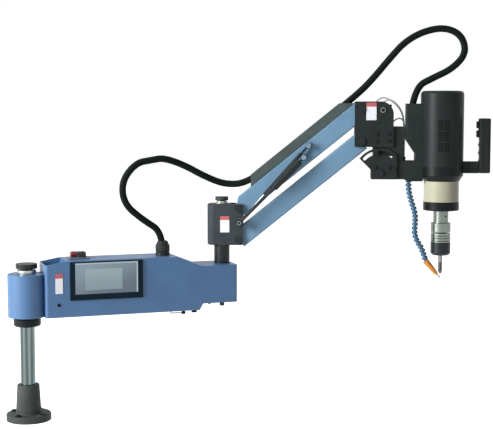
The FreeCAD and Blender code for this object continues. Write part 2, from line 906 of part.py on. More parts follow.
def switch_axis_height():
    """Height of the stop cap's axis above the box."""
    return s.switch_plate_height + s.switch_cap_diameter / 2 + s.seat_gap


def stop_button():
    """Red mushroom cap on a stem; it is pressed along +X."""
    frame = WORLD.moved(x=s.switch_x - s.switch_travel - s.seat_gap, z=s.box_top + switch_axis_height(),
                        axis="y", angle=90)
    radius = s.switch_cap_diameter / 2
    stem = s.switch_stem_diameter / 2
    reach = s.switch_body_length - s.switch_travel - s.switch_back_wall
    piece = turned_piece(
        "stop_button", frame,
        (0, -s.switch_cap_length), (radius, -s.switch_cap_length), (radius, 0), (stem, 0),
        (stem, reach), (0, reach))
    piece.fillet(s.switch_cap_round, (radius, 0, -s.switch_cap_length))
    return keep(piece)


def conduit_gland():
    frame = WORLD.moved(x=s.gland_x, z=s.box_top)
    bore = s.conduit_diameter / 2 + s.seat_gap
    rim = s.gland_base_diameter / 2
    base = turned_piece(
        "gland_base", frame,
        (bore, 0), (rim, 0), (rim, s.gland_base_height - s.edge_break),
        (rim - s.edge_break, s.gland_base_height), (bore, s.gland_base_height))
    nut = Piece("gland_nut", frame)
    low = s.gland_base_height
    high = low + s.gland_nut_height
    nut.pad("XY", low, high, hexagon(s.gland_nut_width))
    nut.pocket("XY", low, high, Circle(bore * 2))
    return group("conduit_gland", [base, nut])


def elbow_shaft():
    radius = s.shaft_diameter / 2
    journal = s.journal_diameter / 2
    shoulder = s.block_bottom - s.bush_flange - s.seat_gap
    top = s.block_bottom + s.block_height + s.bush_flange
    foot = s.box_step_bottom + s.box_wall
    stud = s.elbow_stud_diameter / 2 + s.stud_gap
    stud_end = top - s.stud_depth - s.stud_relief
    bolt = s.shaft_bolt_shank / 2 + s.stud_gap
    bolt_end = foot + s.shaft_bolt_length
    piece = Piece("elbow_shaft", WORLD.moved(x=s.elbow_x))
    piece.turn(Polygon(
        (bolt, foot), (radius, foot), (radius, shoulder), (journal, shoulder), (journal, top), (stud, top),
        (stud, stud_end), (0, stud_end), (0, bolt_end), (bolt, bolt_end)))
    piece.chamfer(s.edge_break, (radius, 0, shoulder))
    return keep(piece)


# ----------------------------------------------------------------------------- elbow
def elbow_block():
    piece = Piece("elbow_block", ARM)
    half = s.block_width / 2
    low = s.block_bottom
    high = s.block_bottom + s.block_height
    piece.pad("XY", low, high, rectangle(-s.block_back, s.block_front, -half, half))
    middle = (low + high) / 2
    piece.fillet(s.block_corner, (-s.block_back, -half, middle), (-s.block_back, half, middle))
    piece.chamfer(s.block_chamfer, (0, -half, high), (0, -half, low))
    piece.pocket("XY", low, high, Circle(s.journal_diameter + 2 * s.bush_wall + 2 * s.running_gap))
    piece.pocket("XY", low, high, rectangle(s.clevis_start, s.block_front + s.cut_margin, -s.clevis_gap / 2,
                                            s.clevis_gap / 2))
    hole = s.pin_diameter + s.running_gap * 2
    piece.pocket("XZ", -half, half, Circle(hole, s.upper_pivot_x, s.upper_pivot_z),
                 Circle(hole, s.upper_pivot_x, LOWER_PIVOT_Z))
    piece.pocket("XZ", -half, -s.clevis_gap / 2,
                 Circle(s.spring_stud_diameter + s.running_gap * 2, s.spring_stud_x, s.spring_stud_z))
    return keep(piece)


def elbow_bushes():
    length = s.bush_length - s.seat_gap
    top = ARM.moved(z=s.block_bottom + s.block_height)
    bottom = ARM.moved(z=s.block_bottom)
    pieces = [
        flanged_bush("elbow_bush_top", top, s.journal_diameter, s.bush_wall, length),
        flanged_bush("elbow_bush_bottom", bottom, s.journal_diameter, s.bush_wall, length, up=False)]
    return group("elbow_bushes", pieces)


def elbow_clamp_ring():
    bottom = s.block_bottom + s.block_height + s.bush_flange + s.seat_gap
    bore = s.elbow_stud_diameter / 2 + s.running_gap * 4
    piece = Piece("elbow_clamp_ring", ARM)
    piece.turn(rectangle(bore, s.elbow_ring_diameter / 2, bottom, bottom + s.elbow_ring_height))
    return keep(piece)


def elbow_knob():
    bottom = s.block_bottom + s.block_height + s.bush_flange + s.seat_gap * 2 + s.elbow_ring_height
    return clamp_knob("elbow_knob", ARM.moved(z=bottom), s.elbow_knob_diameter, s.elbow_knob_height,
                      s.elbow_knob_neck, s.bush_flange, s.elbow_stud_diameter, s.stud_depth)


def headed_pin(label, frame, diameter, grip, head, height):
    """A pin along Y with a round head at both ends of its grip."""
    side = frame.moved(axis="x", angle=90)
    half = grip / 2
    return turned_piece(
        label, side,
        (0, -half - height), (head / 2, -half - height), (head / 2, -half), (diameter / 2, -half),
        (diameter / 2, half), (head / 2, half), (head / 2, half + height), (0, half + height))


def elbow_pins():
    pieces = []
    for name, height in (("upper", s.upper_pivot_z), ("lower", LOWER_PIVOT_Z)):
        frame = ARM.moved(x=s.upper_pivot_x, z=height)
        pieces.append(headed_pin(f"elbow_pin_{name}", frame, s.pin_diameter, s.block_width,
                                 s.pin_head_diameter, s.pin_head_height))
    pieces.append(spring_stud("spring_stud_lower",
                              ARM.moved(x=s.spring_stud_x, y=-s.clevis_gap / 2, z=s.spring_stud_z),
                              front_spring_side() - s.clevis_gap / 2))
    return group("elbow_pins", pieces)


def rear_spring_side():
    """Distance from the arm's middle plane to the rear spring's axis."""
    return s.block_width / 2 + s.spring_side_gap + s.rear_spring_diameter / 2


def front_spring_side():
    """Distance from the arm's middle plane to the front spring's axis."""
    return rear_spring_side() + s.rear_spring_diameter / 2 + s.spring_side_gap + s.front_spring_diameter / 2


def spring_stud(label, frame, reach):
    """A stud that stands out along -Y of its frame past the spring at the given reach."""
    out = frame.moved(axis="x", angle=90)
    end = reach + s.spring_eye_width / 2 + s.seat_gap
    radius = s.spring_stud_diameter / 2
    return turned_piece(
        label, out,
        (0, 0), (radius, 0), (radius, end), (s.spring_stud_head / 2, end),
        (s.spring_stud_head / 2, end + s.stud_head_height), (0, end + s.stud_head_height))


# ----------------------------------------------------------------------------- links and springs
def link_tube(label, frame):
    """Rectangular link with a round eye at both ends; its lower end has one notched corner."""
    piece = Piece(label, frame)
    half = s.link_width / 2
    high = s.link_height / 2
    piece.pad("XZ", -half, half, Polygon(
        (0, -high), (s.link_length, -high), (s.link_length, high), (s.link_notch, high),
        (0, high - s.link_notch)))
    middle = s.link_length / 2
    piece.fillet(s.link_edge, *[(middle, y, z) for y in (-half, half) for z in (-high, high)])
    piece.pad("XZ", -half, half, Circle(s.link_eye, 0, 0))
    piece.pad("XZ", -half, half, Circle(s.link_eye, s.link_length, 0))
    bore = s.pin_diameter + 2 * s.pin_bush_wall + 2 * s.running_gap
    piece.pocket("XZ", -half, half, Circle(bore, 0, 0), Circle(bore, s.link_length, 0))
    return piece


def link_bushes(label, frame):
    half = s.clevis_gap / 2 - s.seat_gap
    inner = s.pin_diameter / 2 + s.running_gap
    outer = s.pin_diameter / 2 + s.pin_bush_wall
    pieces = []
    for number, x in enumerate((0, s.link_length), start=1):
        side = frame.moved(x=x, axis="x", angle=90)
        pieces.append(turned_piece(f"{label}_{number}", side,
                                   (inner, -half), (outer, -half), (outer, half), (inner, half)))
    return pieces


def link(label, frame):
    """A link tube with the bush in each of its eyes."""
    return group(label, [link_tube(f"{label}_tube", frame)] + link_bushes(f"{label}_bush", frame))


def cable_tray():
    """Channel on the upper link, cut upright at its lower end and level at its upper end."""
    piece = Piece("cable_tray", UPPER_LINK)
    half = s.link_width / 2
    low = s.link_height / 2
    high = low + s.tray_height
    wall = s.tray_wall
    end = s.link_length - s.tray_end_inset
    start_run = s.tray_height * sine(s.link_angle) / cosine(s.link_angle)
    end_run = s.tray_height * cosine(s.link_angle) / sine(s.link_angle)
    piece.pad("XZ", -half, half, Polygon(
        (s.tray_start, low), (end + end_run, low), (end, high), (s.tray_start + start_run, high)))
    outside = s.tray_start - s.tray_height
    piece.pocket("XZ", -half + wall, half - wall, Polygon(
        (outside, low - s.cut_margin), (end + end_run - wall * 2, low - s.cut_margin),
        (end - wall, high - wall), (outside, high - wall)))
    centre = low + s.tray_height / 2
    piece.pocket("YZ", end - s.tray_height, end + end_run,
                 Circle(s.conduit_diameter + s.seat_gap * 2, 0, centre))
    return keep(piece)


def spring_bracket():
    """Two bosses joined by a bar on the upper link's side, with a welded stud for each gas spring."""
    piece = Piece("spring_bracket", UPPER_LINK)
    face = -s.link_width / 2
    plate = face - s.spring_bracket_thickness
    run = s.rear_spring_reach - s.front_spring_reach
    climb = s.rear_spring_rise - s.front_spring_rise
    share = s.spring_bar_width / 2 / root(run * run + climb * climb)
    piece.pad("XZ", plate, face, Polygon(
        *[(reach + climb * share * side, rise - run * share * side)
          for reach, rise, side in (
              (s.front_spring_reach, s.front_spring_rise, 1), (s.rear_spring_reach, s.rear_spring_rise, 1),
              (s.rear_spring_reach, s.rear_spring_rise, -1), (s.front_spring_reach, s.front_spring_rise, -1))]))
    studs = ((s.rear_spring_reach, s.rear_spring_rise, rear_spring_side()),
             (s.front_spring_reach, s.front_spring_rise, front_spring_side()))
    for reach, rise, side in studs:
        piece.pad("XZ", plate, face, Circle(s.spring_boss_diameter, reach, rise))
        end = -side - s.spring_eye_width / 2 - s.seat_gap
        piece.pad("XZ", end, plate, Circle(s.spring_stud_diameter, reach, rise))
        piece.pad("XZ", end - s.stud_head_height, end, Circle(s.spring_stud_head, reach, rise))
    return keep(piece)


class GasSpring:
    """Where one gas spring lies: from the stud on the elbow to its stud on the upper link."""

    def __init__(self, reach, rise, side, diameter, rod, neck, body):
        self.diameter = diameter
        self.rod = rod
        self.neck = neck
        self.body = body
        top_x = s.upper_pivot_x + reach * cosine(s.link_angle) - rise * sine(s.link_angle)
        top_z = s.upper_pivot_z + reach * sine(s.link_angle) + rise * cosine(s.link_angle)
        run = top_x - s.spring_stud_x
        climb = top_z - s.spring_stud_z
        self.length = root(run * run + climb * climb)
        self.angle = slope_angle(climb, run)
        self.frame = ARM.moved(x=top_x, y=-side, z=top_z, axis="y", angle=-self.angle)

    def cylinder(self, label):
        piece = Piece(label, self.frame)
        radius = self.diameter / 2
        start = -self.neck
        end = start - self.body
        piece.turn(Polygon((start, 0), (start, radius), (end, radius), (end, 0)), axis="H_Axis")
        piece.fillet(s.spring_end_round, (start, 0, radius), (end, 0, radius))
        half = s.spring_eye_width / 2
        piece.pad("XZ", -half, half, Circle(s.spring_eye))
        piece.pad("YZ", start - s.cut_margin, s.cut_margin - s.spring_eye / 2, Circle(s.spring_neck_width))
        hole = s.spring_stud_diameter + s.running_gap * 2
        piece.pocket("XZ", -half, half, Circle(hole))
        piece.pocket("YZ", end - s.cut_margin, start - s.spring_cap, Circle(self.rod + s.spring_rod_gap * 2))
        return keep(piece)

    def rod_piece(self, label):
        piece = Piece(label, self.frame)
        inner = s.spring_insertion - self.neck - self.body
        half = s.spring_eye_width / 2
        eye_x = -self.length
        ring = s.spring_eye + s.lower_eye_slack * 2
        piece.pad("YZ", eye_x + ring / 2 - s.cut_margin, inner, Circle(self.rod))
        piece.pad("XZ", -half, half, Circle(ring, eye_x, 0))
        piece.pocket("XZ", -half, half, Circle(s.spring_stud_diameter + s.lower_eye_slack * 2, eye_x, 0))
        return keep(piece)


REAR_SPRING = GasSpring(
    s.rear_spring_reach, s.rear_spring_rise, rear_spring_side(), s.rear_spring_diameter, s.rear_spring_rod,
    s.rear_spring_neck, s.rear_spring_body)
FRONT_SPRING = GasSpring(
    s.front_spring_reach, s.front_spring_rise, front_spring_side(), s.front_spring_diameter,
    s.front_spring_rod, s.front_spring_neck, s.front_spring_body)


# ----------------------------------------------------------------------------- head
def head_screw_places():
    """Screws that hold each head plate to the spacer, from the head's upper pivot."""
    low = -s.head_screw_low
    places = [(x, z) for z in (low, low + s.head_screw_pitch) for x in (s.head_screw_left, s.head_screw_right)]
    return places + [(s.head_screw_lone_x, -s.head_screw_lone_drop)]


def head_plate(label, near, far):
    piece = Piece(label, HEAD)
    hole = s.pin_diameter + s.running_gap * 2
    screw = s.head_screw_shank + s.running_gap * 2
    piece.pad("XZ", near, far, rectangle(-s.head_back, s.head_front, -s.head_below, s.head_above),
              Circle(hole, 0, 0), Circle(hole, 0, -s.pivot_spacing),
              *[Circle(screw, x, z) for x, z in head_screw_places()])
    middle = (near + far) / 2
    piece.fillet(s.head_corner, (s.head_front, middle, s.head_above))
    piece.fillet(s.head_small_corner, *[(-s.head_back, middle, z) for z in (s.head_above, -s.head_below)])
    return piece


def head_plates():
    inner = s.clevis_gap / 2
    outer = inner + s.head_plate_thickness
    return group("head_plates", [head_plate("head_plate_front", -outer, -inner),
                                 head_plate("head_plate_rear", inner, outer)])


def head_spacer():
    piece = Piece("head_spacer", HEAD)
    half = s.clevis_gap / 2
    depth = s.head_screw_length - s.head_plate_thickness + s.stud_relief
    piece.pad("XZ", -half, half, rectangle(s.spacer_start, s.spacer_end, -s.spacer_below, s.spacer_above))
    screw = s.head_screw_shank + s.running_gap * 2
    for low, high in ((-half, -half + depth), (half - depth, half)):
        piece.pocket("XZ", low, high, *[Circle(screw, x, z) for x, z in head_screw_places()])
    return keep(piece)


def head_pins():
    pieces = []
    grip = s.clevis_gap + 2 * s.head_plate_thickness
    for name, drop in (("upper", 0), ("lower", s.pivot_spacing)):
        frame = HEAD.moved(z=-drop)
        pieces.append(headed_pin(f"head_pin_{name}", frame, s.pin_diameter, grip,
                                 s.pin_head_diameter, s.pin_head_height))
    return group("head_pins", pieces + tilt_pins())


def head_screws():
    pieces = []
    face = s.clevis_gap / 2 + s.head_plate_thickness
    for name, side, angle in (("front", -face, 90), ("rear", face, -90)):
        for number, (x, z) in enumerate(head_screw_places(), start=1):
            frame = HEAD.moved(x=x, y=side, z=z, axis="x", angle=angle)
            pieces.append(cap_screw(f"head_screw_{name}_{number}", frame, s.head_screw_head,
                                    s.head_screw_height, s.head_screw_shank, s.head_screw_length))
    return group("head_screws", pieces)


def tilt_hanger():
    """Block on the head's end with a bar for the lock bolt and a tongue for the tilt pivot."""
    piece = Piece("tilt_hanger", HEAD)
    half = s.hanger_width / 2
    left = s.head_front
    right = left + s.hanger_length
    bracket_top = s.bracket_up - s.tilt_pivot_drop
    bottom = bracket_top + s.seat_gap * 2
    piece.pad("XZ", -half, half, rectangle(left, right, bottom, -s.hanger_top))
    bar_top = -s.head_below - s.hanger_bar_gap
    wide = half - s.seat_gap
    piece.pad("XZ", -wide, wide, rectangle(
        s.hanger_bar_start, left + s.cut_margin, bar_top - s.hanger_bar_height, bar_top))
    tongue = s.tongue_width / 2
    piece.pad("XZ", -tongue, tongue, rectangle(
        s.tilt_pivot_x - s.tongue_side, s.tilt_pivot_x + s.tongue_side, -s.tilt_pivot_drop,
        bar_top - s.cut_margin))
    radius = s.bracket_down - s.seat_gap
    piece.pad("XZ", -tongue, tongue, Circle(radius * 2, s.tilt_pivot_x, -s.tilt_pivot_drop))
    hole = s.pin_diameter + s.running_gap * 2
    piece.pocket("XZ", -half, half, Circle(hole, s.tilt_pivot_x, -s.tilt_pivot_drop))
    lock_x, lock_z = lock_bolt_place()
    piece.pocket("XZ", -half, 0, Circle(s.lock_bolt_diameter + s.running_gap * 2, lock_x, lock_z))
    return keep(piece)


def lock_bolt_place():
    x = s.tilt_pivot_x - s.slot_radius * sine(s.lock_bolt_angle)
    z = s.slot_radius * cosine(s.lock_bolt_angle) - s.tilt_pivot_drop
    return x, z


def tilt_pins():
    """Pivot pin of the tilting head and the bolt that locks it through the arc slot."""
    face = s.bracket_width / 2 + s.fan_thickness + s.seat_gap
    pivot = HEAD.moved(x=s.tilt_pivot_x, y=-face, z=-s.tilt_pivot_drop, axis="x", angle=90)
    pin = cap_screw("tilt_pivot_pin", pivot, s.pin_head_diameter, s.pin_head_height, s.pin_diameter,
                    s.bracket_width + s.fan_thickness)
    lock_x, lock_z = lock_bolt_place()
    lock = HEAD.moved(x=lock_x, y=-face, z=lock_z, axis="x", angle=90)
    bolt = cap_screw("tilt_lock_bolt", lock, s.lock_bolt_head, s.lock_bolt_diameter, s.lock_bolt_diameter,
                     s.bracket_width / 2)
    return [pin, bolt]


# ----------------------------------------------------------------------------- tilting head
def fan_screw_places():
    """Screws that hold the fan plate to the bracket, from the tilt pivot."""
    high = s.bracket_up / 2
    return [(-s.fan_screw_left, high), (s.fan_screw_middle, high), (s.fan_screw_right, high - s.fan_screw_drop)]


def tilt_fan_plate():
    """Plate with a round top edge and a slot on an arc about the tilt pivot."""
    piece = Piece("tilt_fan_plate", TILT)
    back = -s.bracket_width / 2
    front = back - s.fan_thickness
    far = s.fan_radius + s.cut_margin
    screw = s.head_screw_shank + s.running_gap * 2
    piece.pad("XZ", front, back, Circle(s.fan_radius * 2), Circle(s.pin_diameter + s.running_gap * 2),
              *[Circle(screw, x, z) for x, z in fan_screw_places()])
    piece.pocket("XZ", front, back, Polygon(
        (-far, s.fan_tip_z), (-s.fan_tip_x, s.fan_tip_z), (-s.bracket_left, s.bracket_down / 2),
        (-s.bracket_left, -far), (-far, -far)))
    piece.pocket("XZ", front, back, rectangle(-far, far, -far, -s.bracket_down))
    piece.pocket("XZ", front, back, rectangle(s.fan_right, far, -far, far))
    slot = piece.body.newObject("PartDesign::Groove", "arc_slot")
    half = s.slot_width / 2
    profile = piece.sketch("YZ", 0, [rectangle(front - s.cut_margin, back + s.cut_margin,
                                               s.slot_radius - half, s.slot_radius + half)])
    slot.Profile = profile
    slot.ReferenceAxis = (profile, ["H_Axis"])
    slot.Type = "TwoAngles"
    bind(slot, "Angle", s.slot_right)
    bind(slot, "Angle2", s.slot_left)
    ends = [(-s.slot_radius * sine(s.slot_left), s.slot_radius * cosine(s.slot_left)),
            (s.slot_radius * sine(s.slot_right), s.slot_radius * cosine(s.slot_right))]
    piece.pocket("XZ", front, back, *[Circle(s.slot_width, x, z) for x, z in ends])
    return keep(piece)


def motor_bracket():
    """Cross arm between the tilt pivot and the motor, forked round the hanger's tongue."""
    piece = Piece("motor_bracket", TILT)
    half = s.bracket_width / 2
    end = s.motor_x
    piece.pad("XZ", -half, half, Polygon(
        (-s.bracket_left, -s.bracket_down), (s.bracket_step_start, -s.bracket_down),
        (s.bracket_step_end, -s.bracket_step_down), (end, -s.bracket_step_down), (end, s.bracket_up),
        (-s.bracket_left, s.bracket_up)))
    fork = s.tongue_width / 2 + s.seat_gap
    piece.pocket("XY", -s.bracket_step_down, s.bracket_up, rectangle(
        -s.bracket_left - s.cut_margin, s.bracket_slot_end, -fork, fork))
    piece.pocket("XY", -s.bracket_step_down, s.bracket_up, Circle(s.motor_diameter + 2 * s.seat_gap, s.motor_x))
    piece.pocket("XZ", -half, half, Circle(s.pin_diameter + s.running_gap * 2))
    screw = s.head_screw_shank + s.running_gap * 2
    piece.pocket("XZ", -half, -half + fan_screw_depth(), *[Circle(screw, x, z) for x, z in fan_screw_places()])
    return keep(piece)


def fan_screw_depth():
    return (s.bracket_width - s.tongue_width) / 2 - s.fan_screw_wall


def bracket_screws():
    pieces = []
    face = s.bracket_width / 2 + s.fan_thickness
    length = s.fan_thickness + fan_screw_depth() - s.cut_margin
    for number, (x, z) in enumerate(fan_screw_places(), start=1):
        frame = TILT.moved(x=x, y=-face, z=z, axis="x", angle=90)
        pieces.append(cap_screw(f"bracket_screw_{number}", frame, s.head_screw_head, s.head_screw_height,
                                s.head_screw_shank, length))
    return group("bracket_screws", pieces)


def conduit_cover():
    """Upright cover between the conduit and the motor, waisted above the bracket."""
    piece = Piece("conduit_cover", TILT)
    half = s.cover_width / 2
    end = s.motor_x - s.motor_diameter / 4
    piece.pad("XZ", -half, half, Polygon(
        (s.cover_left, s.cover_top), (s.cover_left, s.cover_bend_z), (s.cover_waist_x, s.cover_waist_z),
        (s.cover_waist_x, s.bracket_up), (end, s.bracket_up), (end, s.cover_top)))
    piece.pocket("XY", 0, s.cover_top, Circle(s.motor_diameter + 2 * s.seat_gap, s.motor_x))
    middle = (s.cover_bend_z + s.cover_top) / 2
    piece.fillet(s.cover_corner, (s.cover_left, -half, middle), (s.cover_left, half, middle))
    return keep(piece)


def motor_housing():
    """Round housing with groups of vent slots on both sides of a rib in its front."""
    piece = Piece("motor_housing", MOTOR)
    radius = s.motor_diameter / 2
    piece.turn(rectangle(0, radius, s.motor_bottom, s.motor_top))
    piece.fillet(s.motor_round, (radius, 0, s.motor_top))
    half = s.vent_width / 2
    row = s.vent_pitch * (s.vents_in_group - 1)
    for number in range(SIZES["vent_groups"]):
        top = s.vent_top - s.vent_group_pitch * number
        low = top - row - s.vent_height
        slot = piece.pocket("XZ", -radius - s.cut_margin, -radius + s.vent_depth,
                            rectangle(-half, -s.vent_rib / 2, low, top - row),
                            rectangle(s.vent_rib / 2, half, low, top - row))
        piece.along(slot, "V_Axis", row, s.vents_in_group)
    return keep(piece)


def gearbox_flange():
    radius = s.motor_diameter / 2
    low = s.motor_bottom - s.flange_band
    neck = s.gearbox_diameter / 2 + s.edge_break
    piece = turned_piece(
        "gearbox_flange", MOTOR,
        (0, s.gearbox_top), (neck, s.gearbox_top), (radius, low), (radius, s.motor_bottom), (0, s.motor_bottom))
    return keep(piece)


def gearbox():
    low = s.gearbox_top - s.gearbox_height
    bore = s.spindle_journal / 2 + s.running_gap
    end = low + s.spindle_journal_length - s.ring_height + s.edge_break
    radius = s.gearbox_diameter / 2
    piece = turned_piece(
        "gearbox", MOTOR,
        (bore, low), (radius, low), (radius, s.gearbox_top), (0, s.gearbox_top), (0, end), (bore, end))
    piece.fillet(s.gearbox_edge, (radius, 0, low))
    return keep(piece)


def clutch_ring():
    high = s.gearbox_top - s.gearbox_height
    low = high - s.ring_height
    bore = s.spindle_journal / 2 + s.running_gap
    piece = Piece("clutch_ring", MOTOR)
    piece.turn(rectangle(bore, s.ring_diameter / 2, low, high))
    piece.chamfer(s.ring_chamfer, (s.ring_diameter / 2, 0, low), (s.ring_diameter / 2, 0, high))
    return keep(piece)


def handle_bar():
    piece = Piece("handle_bar", MOTOR)
    half = s.handle_width / 2 - s.bar_inset
    low = s.handle_bottom
    high = low + s.handle_bar_height
    piece.pad("XZ", -half, half, rectangle(0, s.grip_x, low, high))
    piece.pocket("XY", low, high, Circle(s.motor_diameter + 2 * s.seat_gap))
    return keep(piece)


def button_levels():
    """Height of the middle of each push button."""
    top = s.handle_bottom + s.grip_height - s.button_top_drop - s.button_height / 2
    return [("start_button", top), ("reverse_button", top - s.button_pitch)]


def handle_grip():
    """Upright grip with finger hollows and two recesses for its buttons."""
    piece = Piece("handle_grip", MOTOR)
    half = s.handle_width / 2
    low = s.handle_bottom
    high = low + s.grip_height
    left = s.grip_x
    right = left + s.grip_length
    piece.pad("XZ", -half, half, rectangle(left, right, low, high))
    middle = (low + high) / 2
    centre = left + s.grip_length / 2
    piece.fillet(s.grip_edge, (right, -half, middle), (right, half, middle), (left, -half, middle),
                 (left, half, middle))
    piece.fillet(s.grip_end_edge, (centre, -half, high), (centre, -half, low))
    gap = s.seat_gap
    wide = s.button_width / 2 + gap
    for name, level in button_levels():
        tall = s.button_height / 2 + gap
        piece.pocket("YZ", left - s.cut_margin, left + s.button_recess,
                     rectangle(-wide, wide, level - tall, level + tall))
    radius = s.finger_pitch
    hollow = piece.pocket("XZ", -half - s.cut_margin, half + s.cut_margin, Circle(
        radius * 2, left + s.finger_depth - radius, low + s.handle_bar_height + s.finger_pitch / 2))
    piece.along(hollow, "V_Axis", s.finger_pitch * (s.fingers - 1), s.fingers)
    return keep(piece)


def push_buttons():
    half = s.button_width / 2
    tall = s.button_height / 2
    for name, level in button_levels():
        piece = Piece(name, MOTOR)
        back = s.grip_x + s.button_recess - s.button_travel - s.seat_gap
        front = s.grip_x - s.button_proud
        piece.pad("YZ", front, back, rectangle(-half, half, level - tall, level + tall))
        piece.fillet(s.button_edge, (front, 0, level + tall), (front, 0, level - tall))
        keep(piece)


# ----------------------------------------------------------------------------- spindle
RING_BOTTOM = s.gearbox_top - s.gearbox_height - s.ring_height


def spindle_shank():
    top = RING_BOTTOM - s.seat_gap
    low = RING_BOTTOM - s.spindle_length
    radius = s.spindle_diameter / 2
    journal = s.spindle_journal / 2
    piece = turned_piece(
        "spindle_shank", MOTOR,
        (0, low), (radius, low), (radius, top), (journal, top), (journal, top + s.spindle_journal_length),
        (0, top + s.spindle_journal_length))
    piece.chamfer(s.edge_break, (radius, 0, top))
    return keep(piece)


CHUCK_TOP = RING_BOTTOM - s.spindle_length
CHUCK_COLLAR_BOTTOM = CHUCK_TOP - s.chuck_collar_height
SLEEVE_BOTTOM = CHUCK_COLLAR_BOTTOM - s.sleeve_travel - s.seat_gap - s.sleeve_height
ADAPTER_BOTTOM = SLEEVE_BOTTOM - s.seat_gap - s.adapter_height


def tap_chuck():
    """Chuck collar with the core that the sleeve slides on."""
    radius = s.chuck_diameter / 2
    core = s.chuck_core_diameter / 2
    low = SLEEVE_BOTTOM - s.seat_gap
    piece = turned_piece(
        "tap_chuck", MOTOR,
        (0, low), (core, low), (core, CHUCK_COLLAR_BOTTOM), (radius, CHUCK_COLLAR_BOTTOM),
        (radius, CHUCK_TOP), (0, CHUCK_TOP))
    piece.chamfer(s.edge_break, (radius, 0, CHUCK_TOP))
    return keep(piece)


def chuck_sleeve():
    """Grooved release sleeve; it slides up on the core."""
    radius = s.chuck_diameter / 2
    core = s.chuck_core_diameter / 2 + s.running_gap * 2
    low = SLEEVE_BOTTOM
    high = low + s.sleeve_height
    piece = Piece("chuck_sleeve", MOTOR)
    piece.turn(rectangle(core, radius, low, high))
    inner = radius - s.groove_depth
    cuts = []
    for number in range(SIZES["groove_count"]):
        level = low + s.groove_start + s.groove_pitch * number
        cuts.append(rectangle(inner, radius + s.cut_margin, level, level + s.groove_height))
    piece.groove(*cuts)
    return keep(piece)


def tap_adapter():
    radius = s.chuck_diameter / 2
    low = ADAPTER_BOTTOM
    high = low + s.adapter_height
    seat = s.tap_shank_diameter / 2 + s.running_gap
    chamfer = s.adapter_chamfer
    piece = turned_piece(
        "tap_adapter", MOTOR,
        (seat, low), (radius - chamfer, low), (radius, low + chamfer), (radius, high), (0, high),
        (0, low + s.tap_seat_depth), (seat, low + s.tap_seat_depth))
    return keep(piece)


def tap():
    """Fluted tap with a tapered lead."""
    low = ADAPTER_BOTTOM - s.tap_length
    shank = s.tap_shank_diameter / 2
    thread = s.tap_diameter / 2
    top = ADAPTER_BOTTOM + s.tap_seat_depth
    shoulder = low + s.tap_thread_length
    piece = turned_piece(
        "tap", MOTOR,
        (0, low), (s.tap_point_diameter / 2, low), (thread, low + s.tap_lead), (thread, shoulder),
        (shank, shoulder + s.tap_neck), (shank, top), (0, top))
    flute = piece.pocket("XY", low - s.cut_margin, shoulder, Circle(s.tap_flute, thread, 0))
    piece.around([flute], s.tap_flutes)
    return keep(piece)


# ----------------------------------------------------------------------------- coolant line
def hose_link(label, frame):
    """One link of a ball-and-socket hose, from the socket at its origin down to its ball."""
    piece = Piece(label, frame)
    pitch = s.hose_pitch
    bore = s.hose_bore / 2
    ball = s.hose_ball_diameter / 2
    skirt = s.hose_socket_diameter / 2
    waist = s.hose_waist_diameter / 2
    cup = ball + s.seat_gap
    piece.turn(Polygon(
        (cup, s.hose_lip), (skirt - s.hose_lip_bevel, s.hose_lip), (skirt, 0), (skirt, -ball),
        (waist, -pitch + ball * 1.1), (waist, -pitch + ball * 0.9), (ball, -pitch + ball * 0.3),
        (ball, -pitch - ball * 0.3), (bore + s.hose_mouth_bevel, -pitch - ball * 0.9),
        (bore, -pitch - ball * 0.9), (bore, -ball * 1.2),
        (cup, -ball * 0.8)))
    return piece


def hose_fitting(frame):
    """Fitting under the bracket with the ball for the first link; its origin is the ball's centre."""
    bore = s.hose_bore / 2
    ball = s.hose_ball_diameter / 2
    rim = s.hose_socket_diameter / 2
    waist = s.hose_waist_diameter / 2
    top = s.hose_fitting_reach
    under = top - s.hose_fitting_height
    return turned_piece(
        "hose_fitting", frame,
        (bore, top), (rim, top), (rim, under), (waist, under), (waist, ball * 0.9), (ball, ball * 0.3),
        (ball, -ball * 0.3), (bore + s.hose_mouth_bevel, -ball * 0.9), (bore, -ball * 0.9))


def coolant_hose():
    drop = s.bracket_step_down + s.seat_gap + s.hose_fitting_reach
    frame = TILT.moved(x=s.hose_x, y=s.hose_side, z=-drop)
    links = [hose_fitting(frame)]
    for number, heading in enumerate(HOSE_HEADINGS, start=1):
        turned = frame.moved(axis="y", angle=-heading)
        links.append(hose_link(f"hose_link_{number}", turned))
        frame = turned.moved(z=-s.hose_pitch, axis="y", angle=heading)
    group("coolant_hose", links)
    return frame


def coolant_nozzle(frame):
    """Tapered nozzle on the hose's last ball, with a thin tip."""
    cup = s.hose_ball_diameter / 2 + s.seat_gap
    skirt = s.hose_socket_diameter / 2
    ball = s.hose_ball_diameter / 2
    end = s.nozzle_end_diameter / 2
    tip = s.nozzle_tip_diameter / 2
    bore = s.nozzle_bore / 2
    low = -s.nozzle_length
    piece = turned_piece(
        "coolant_nozzle", frame.moved(axis="y", angle=-s.nozzle_angle),
        (cup, ball * 0.4), (skirt, ball * 0.3), (skirt, -ball), (end, low), (tip, low),
        (tip, low - s.nozzle_tip_length), (bore, low - s.nozzle_tip_length), (bore, -ball * 1.3),
        (cup, -ball * 0.9))
    return keep(piece)


# ----------------------------------------------------------------------------- cords
CORD_RADII = []


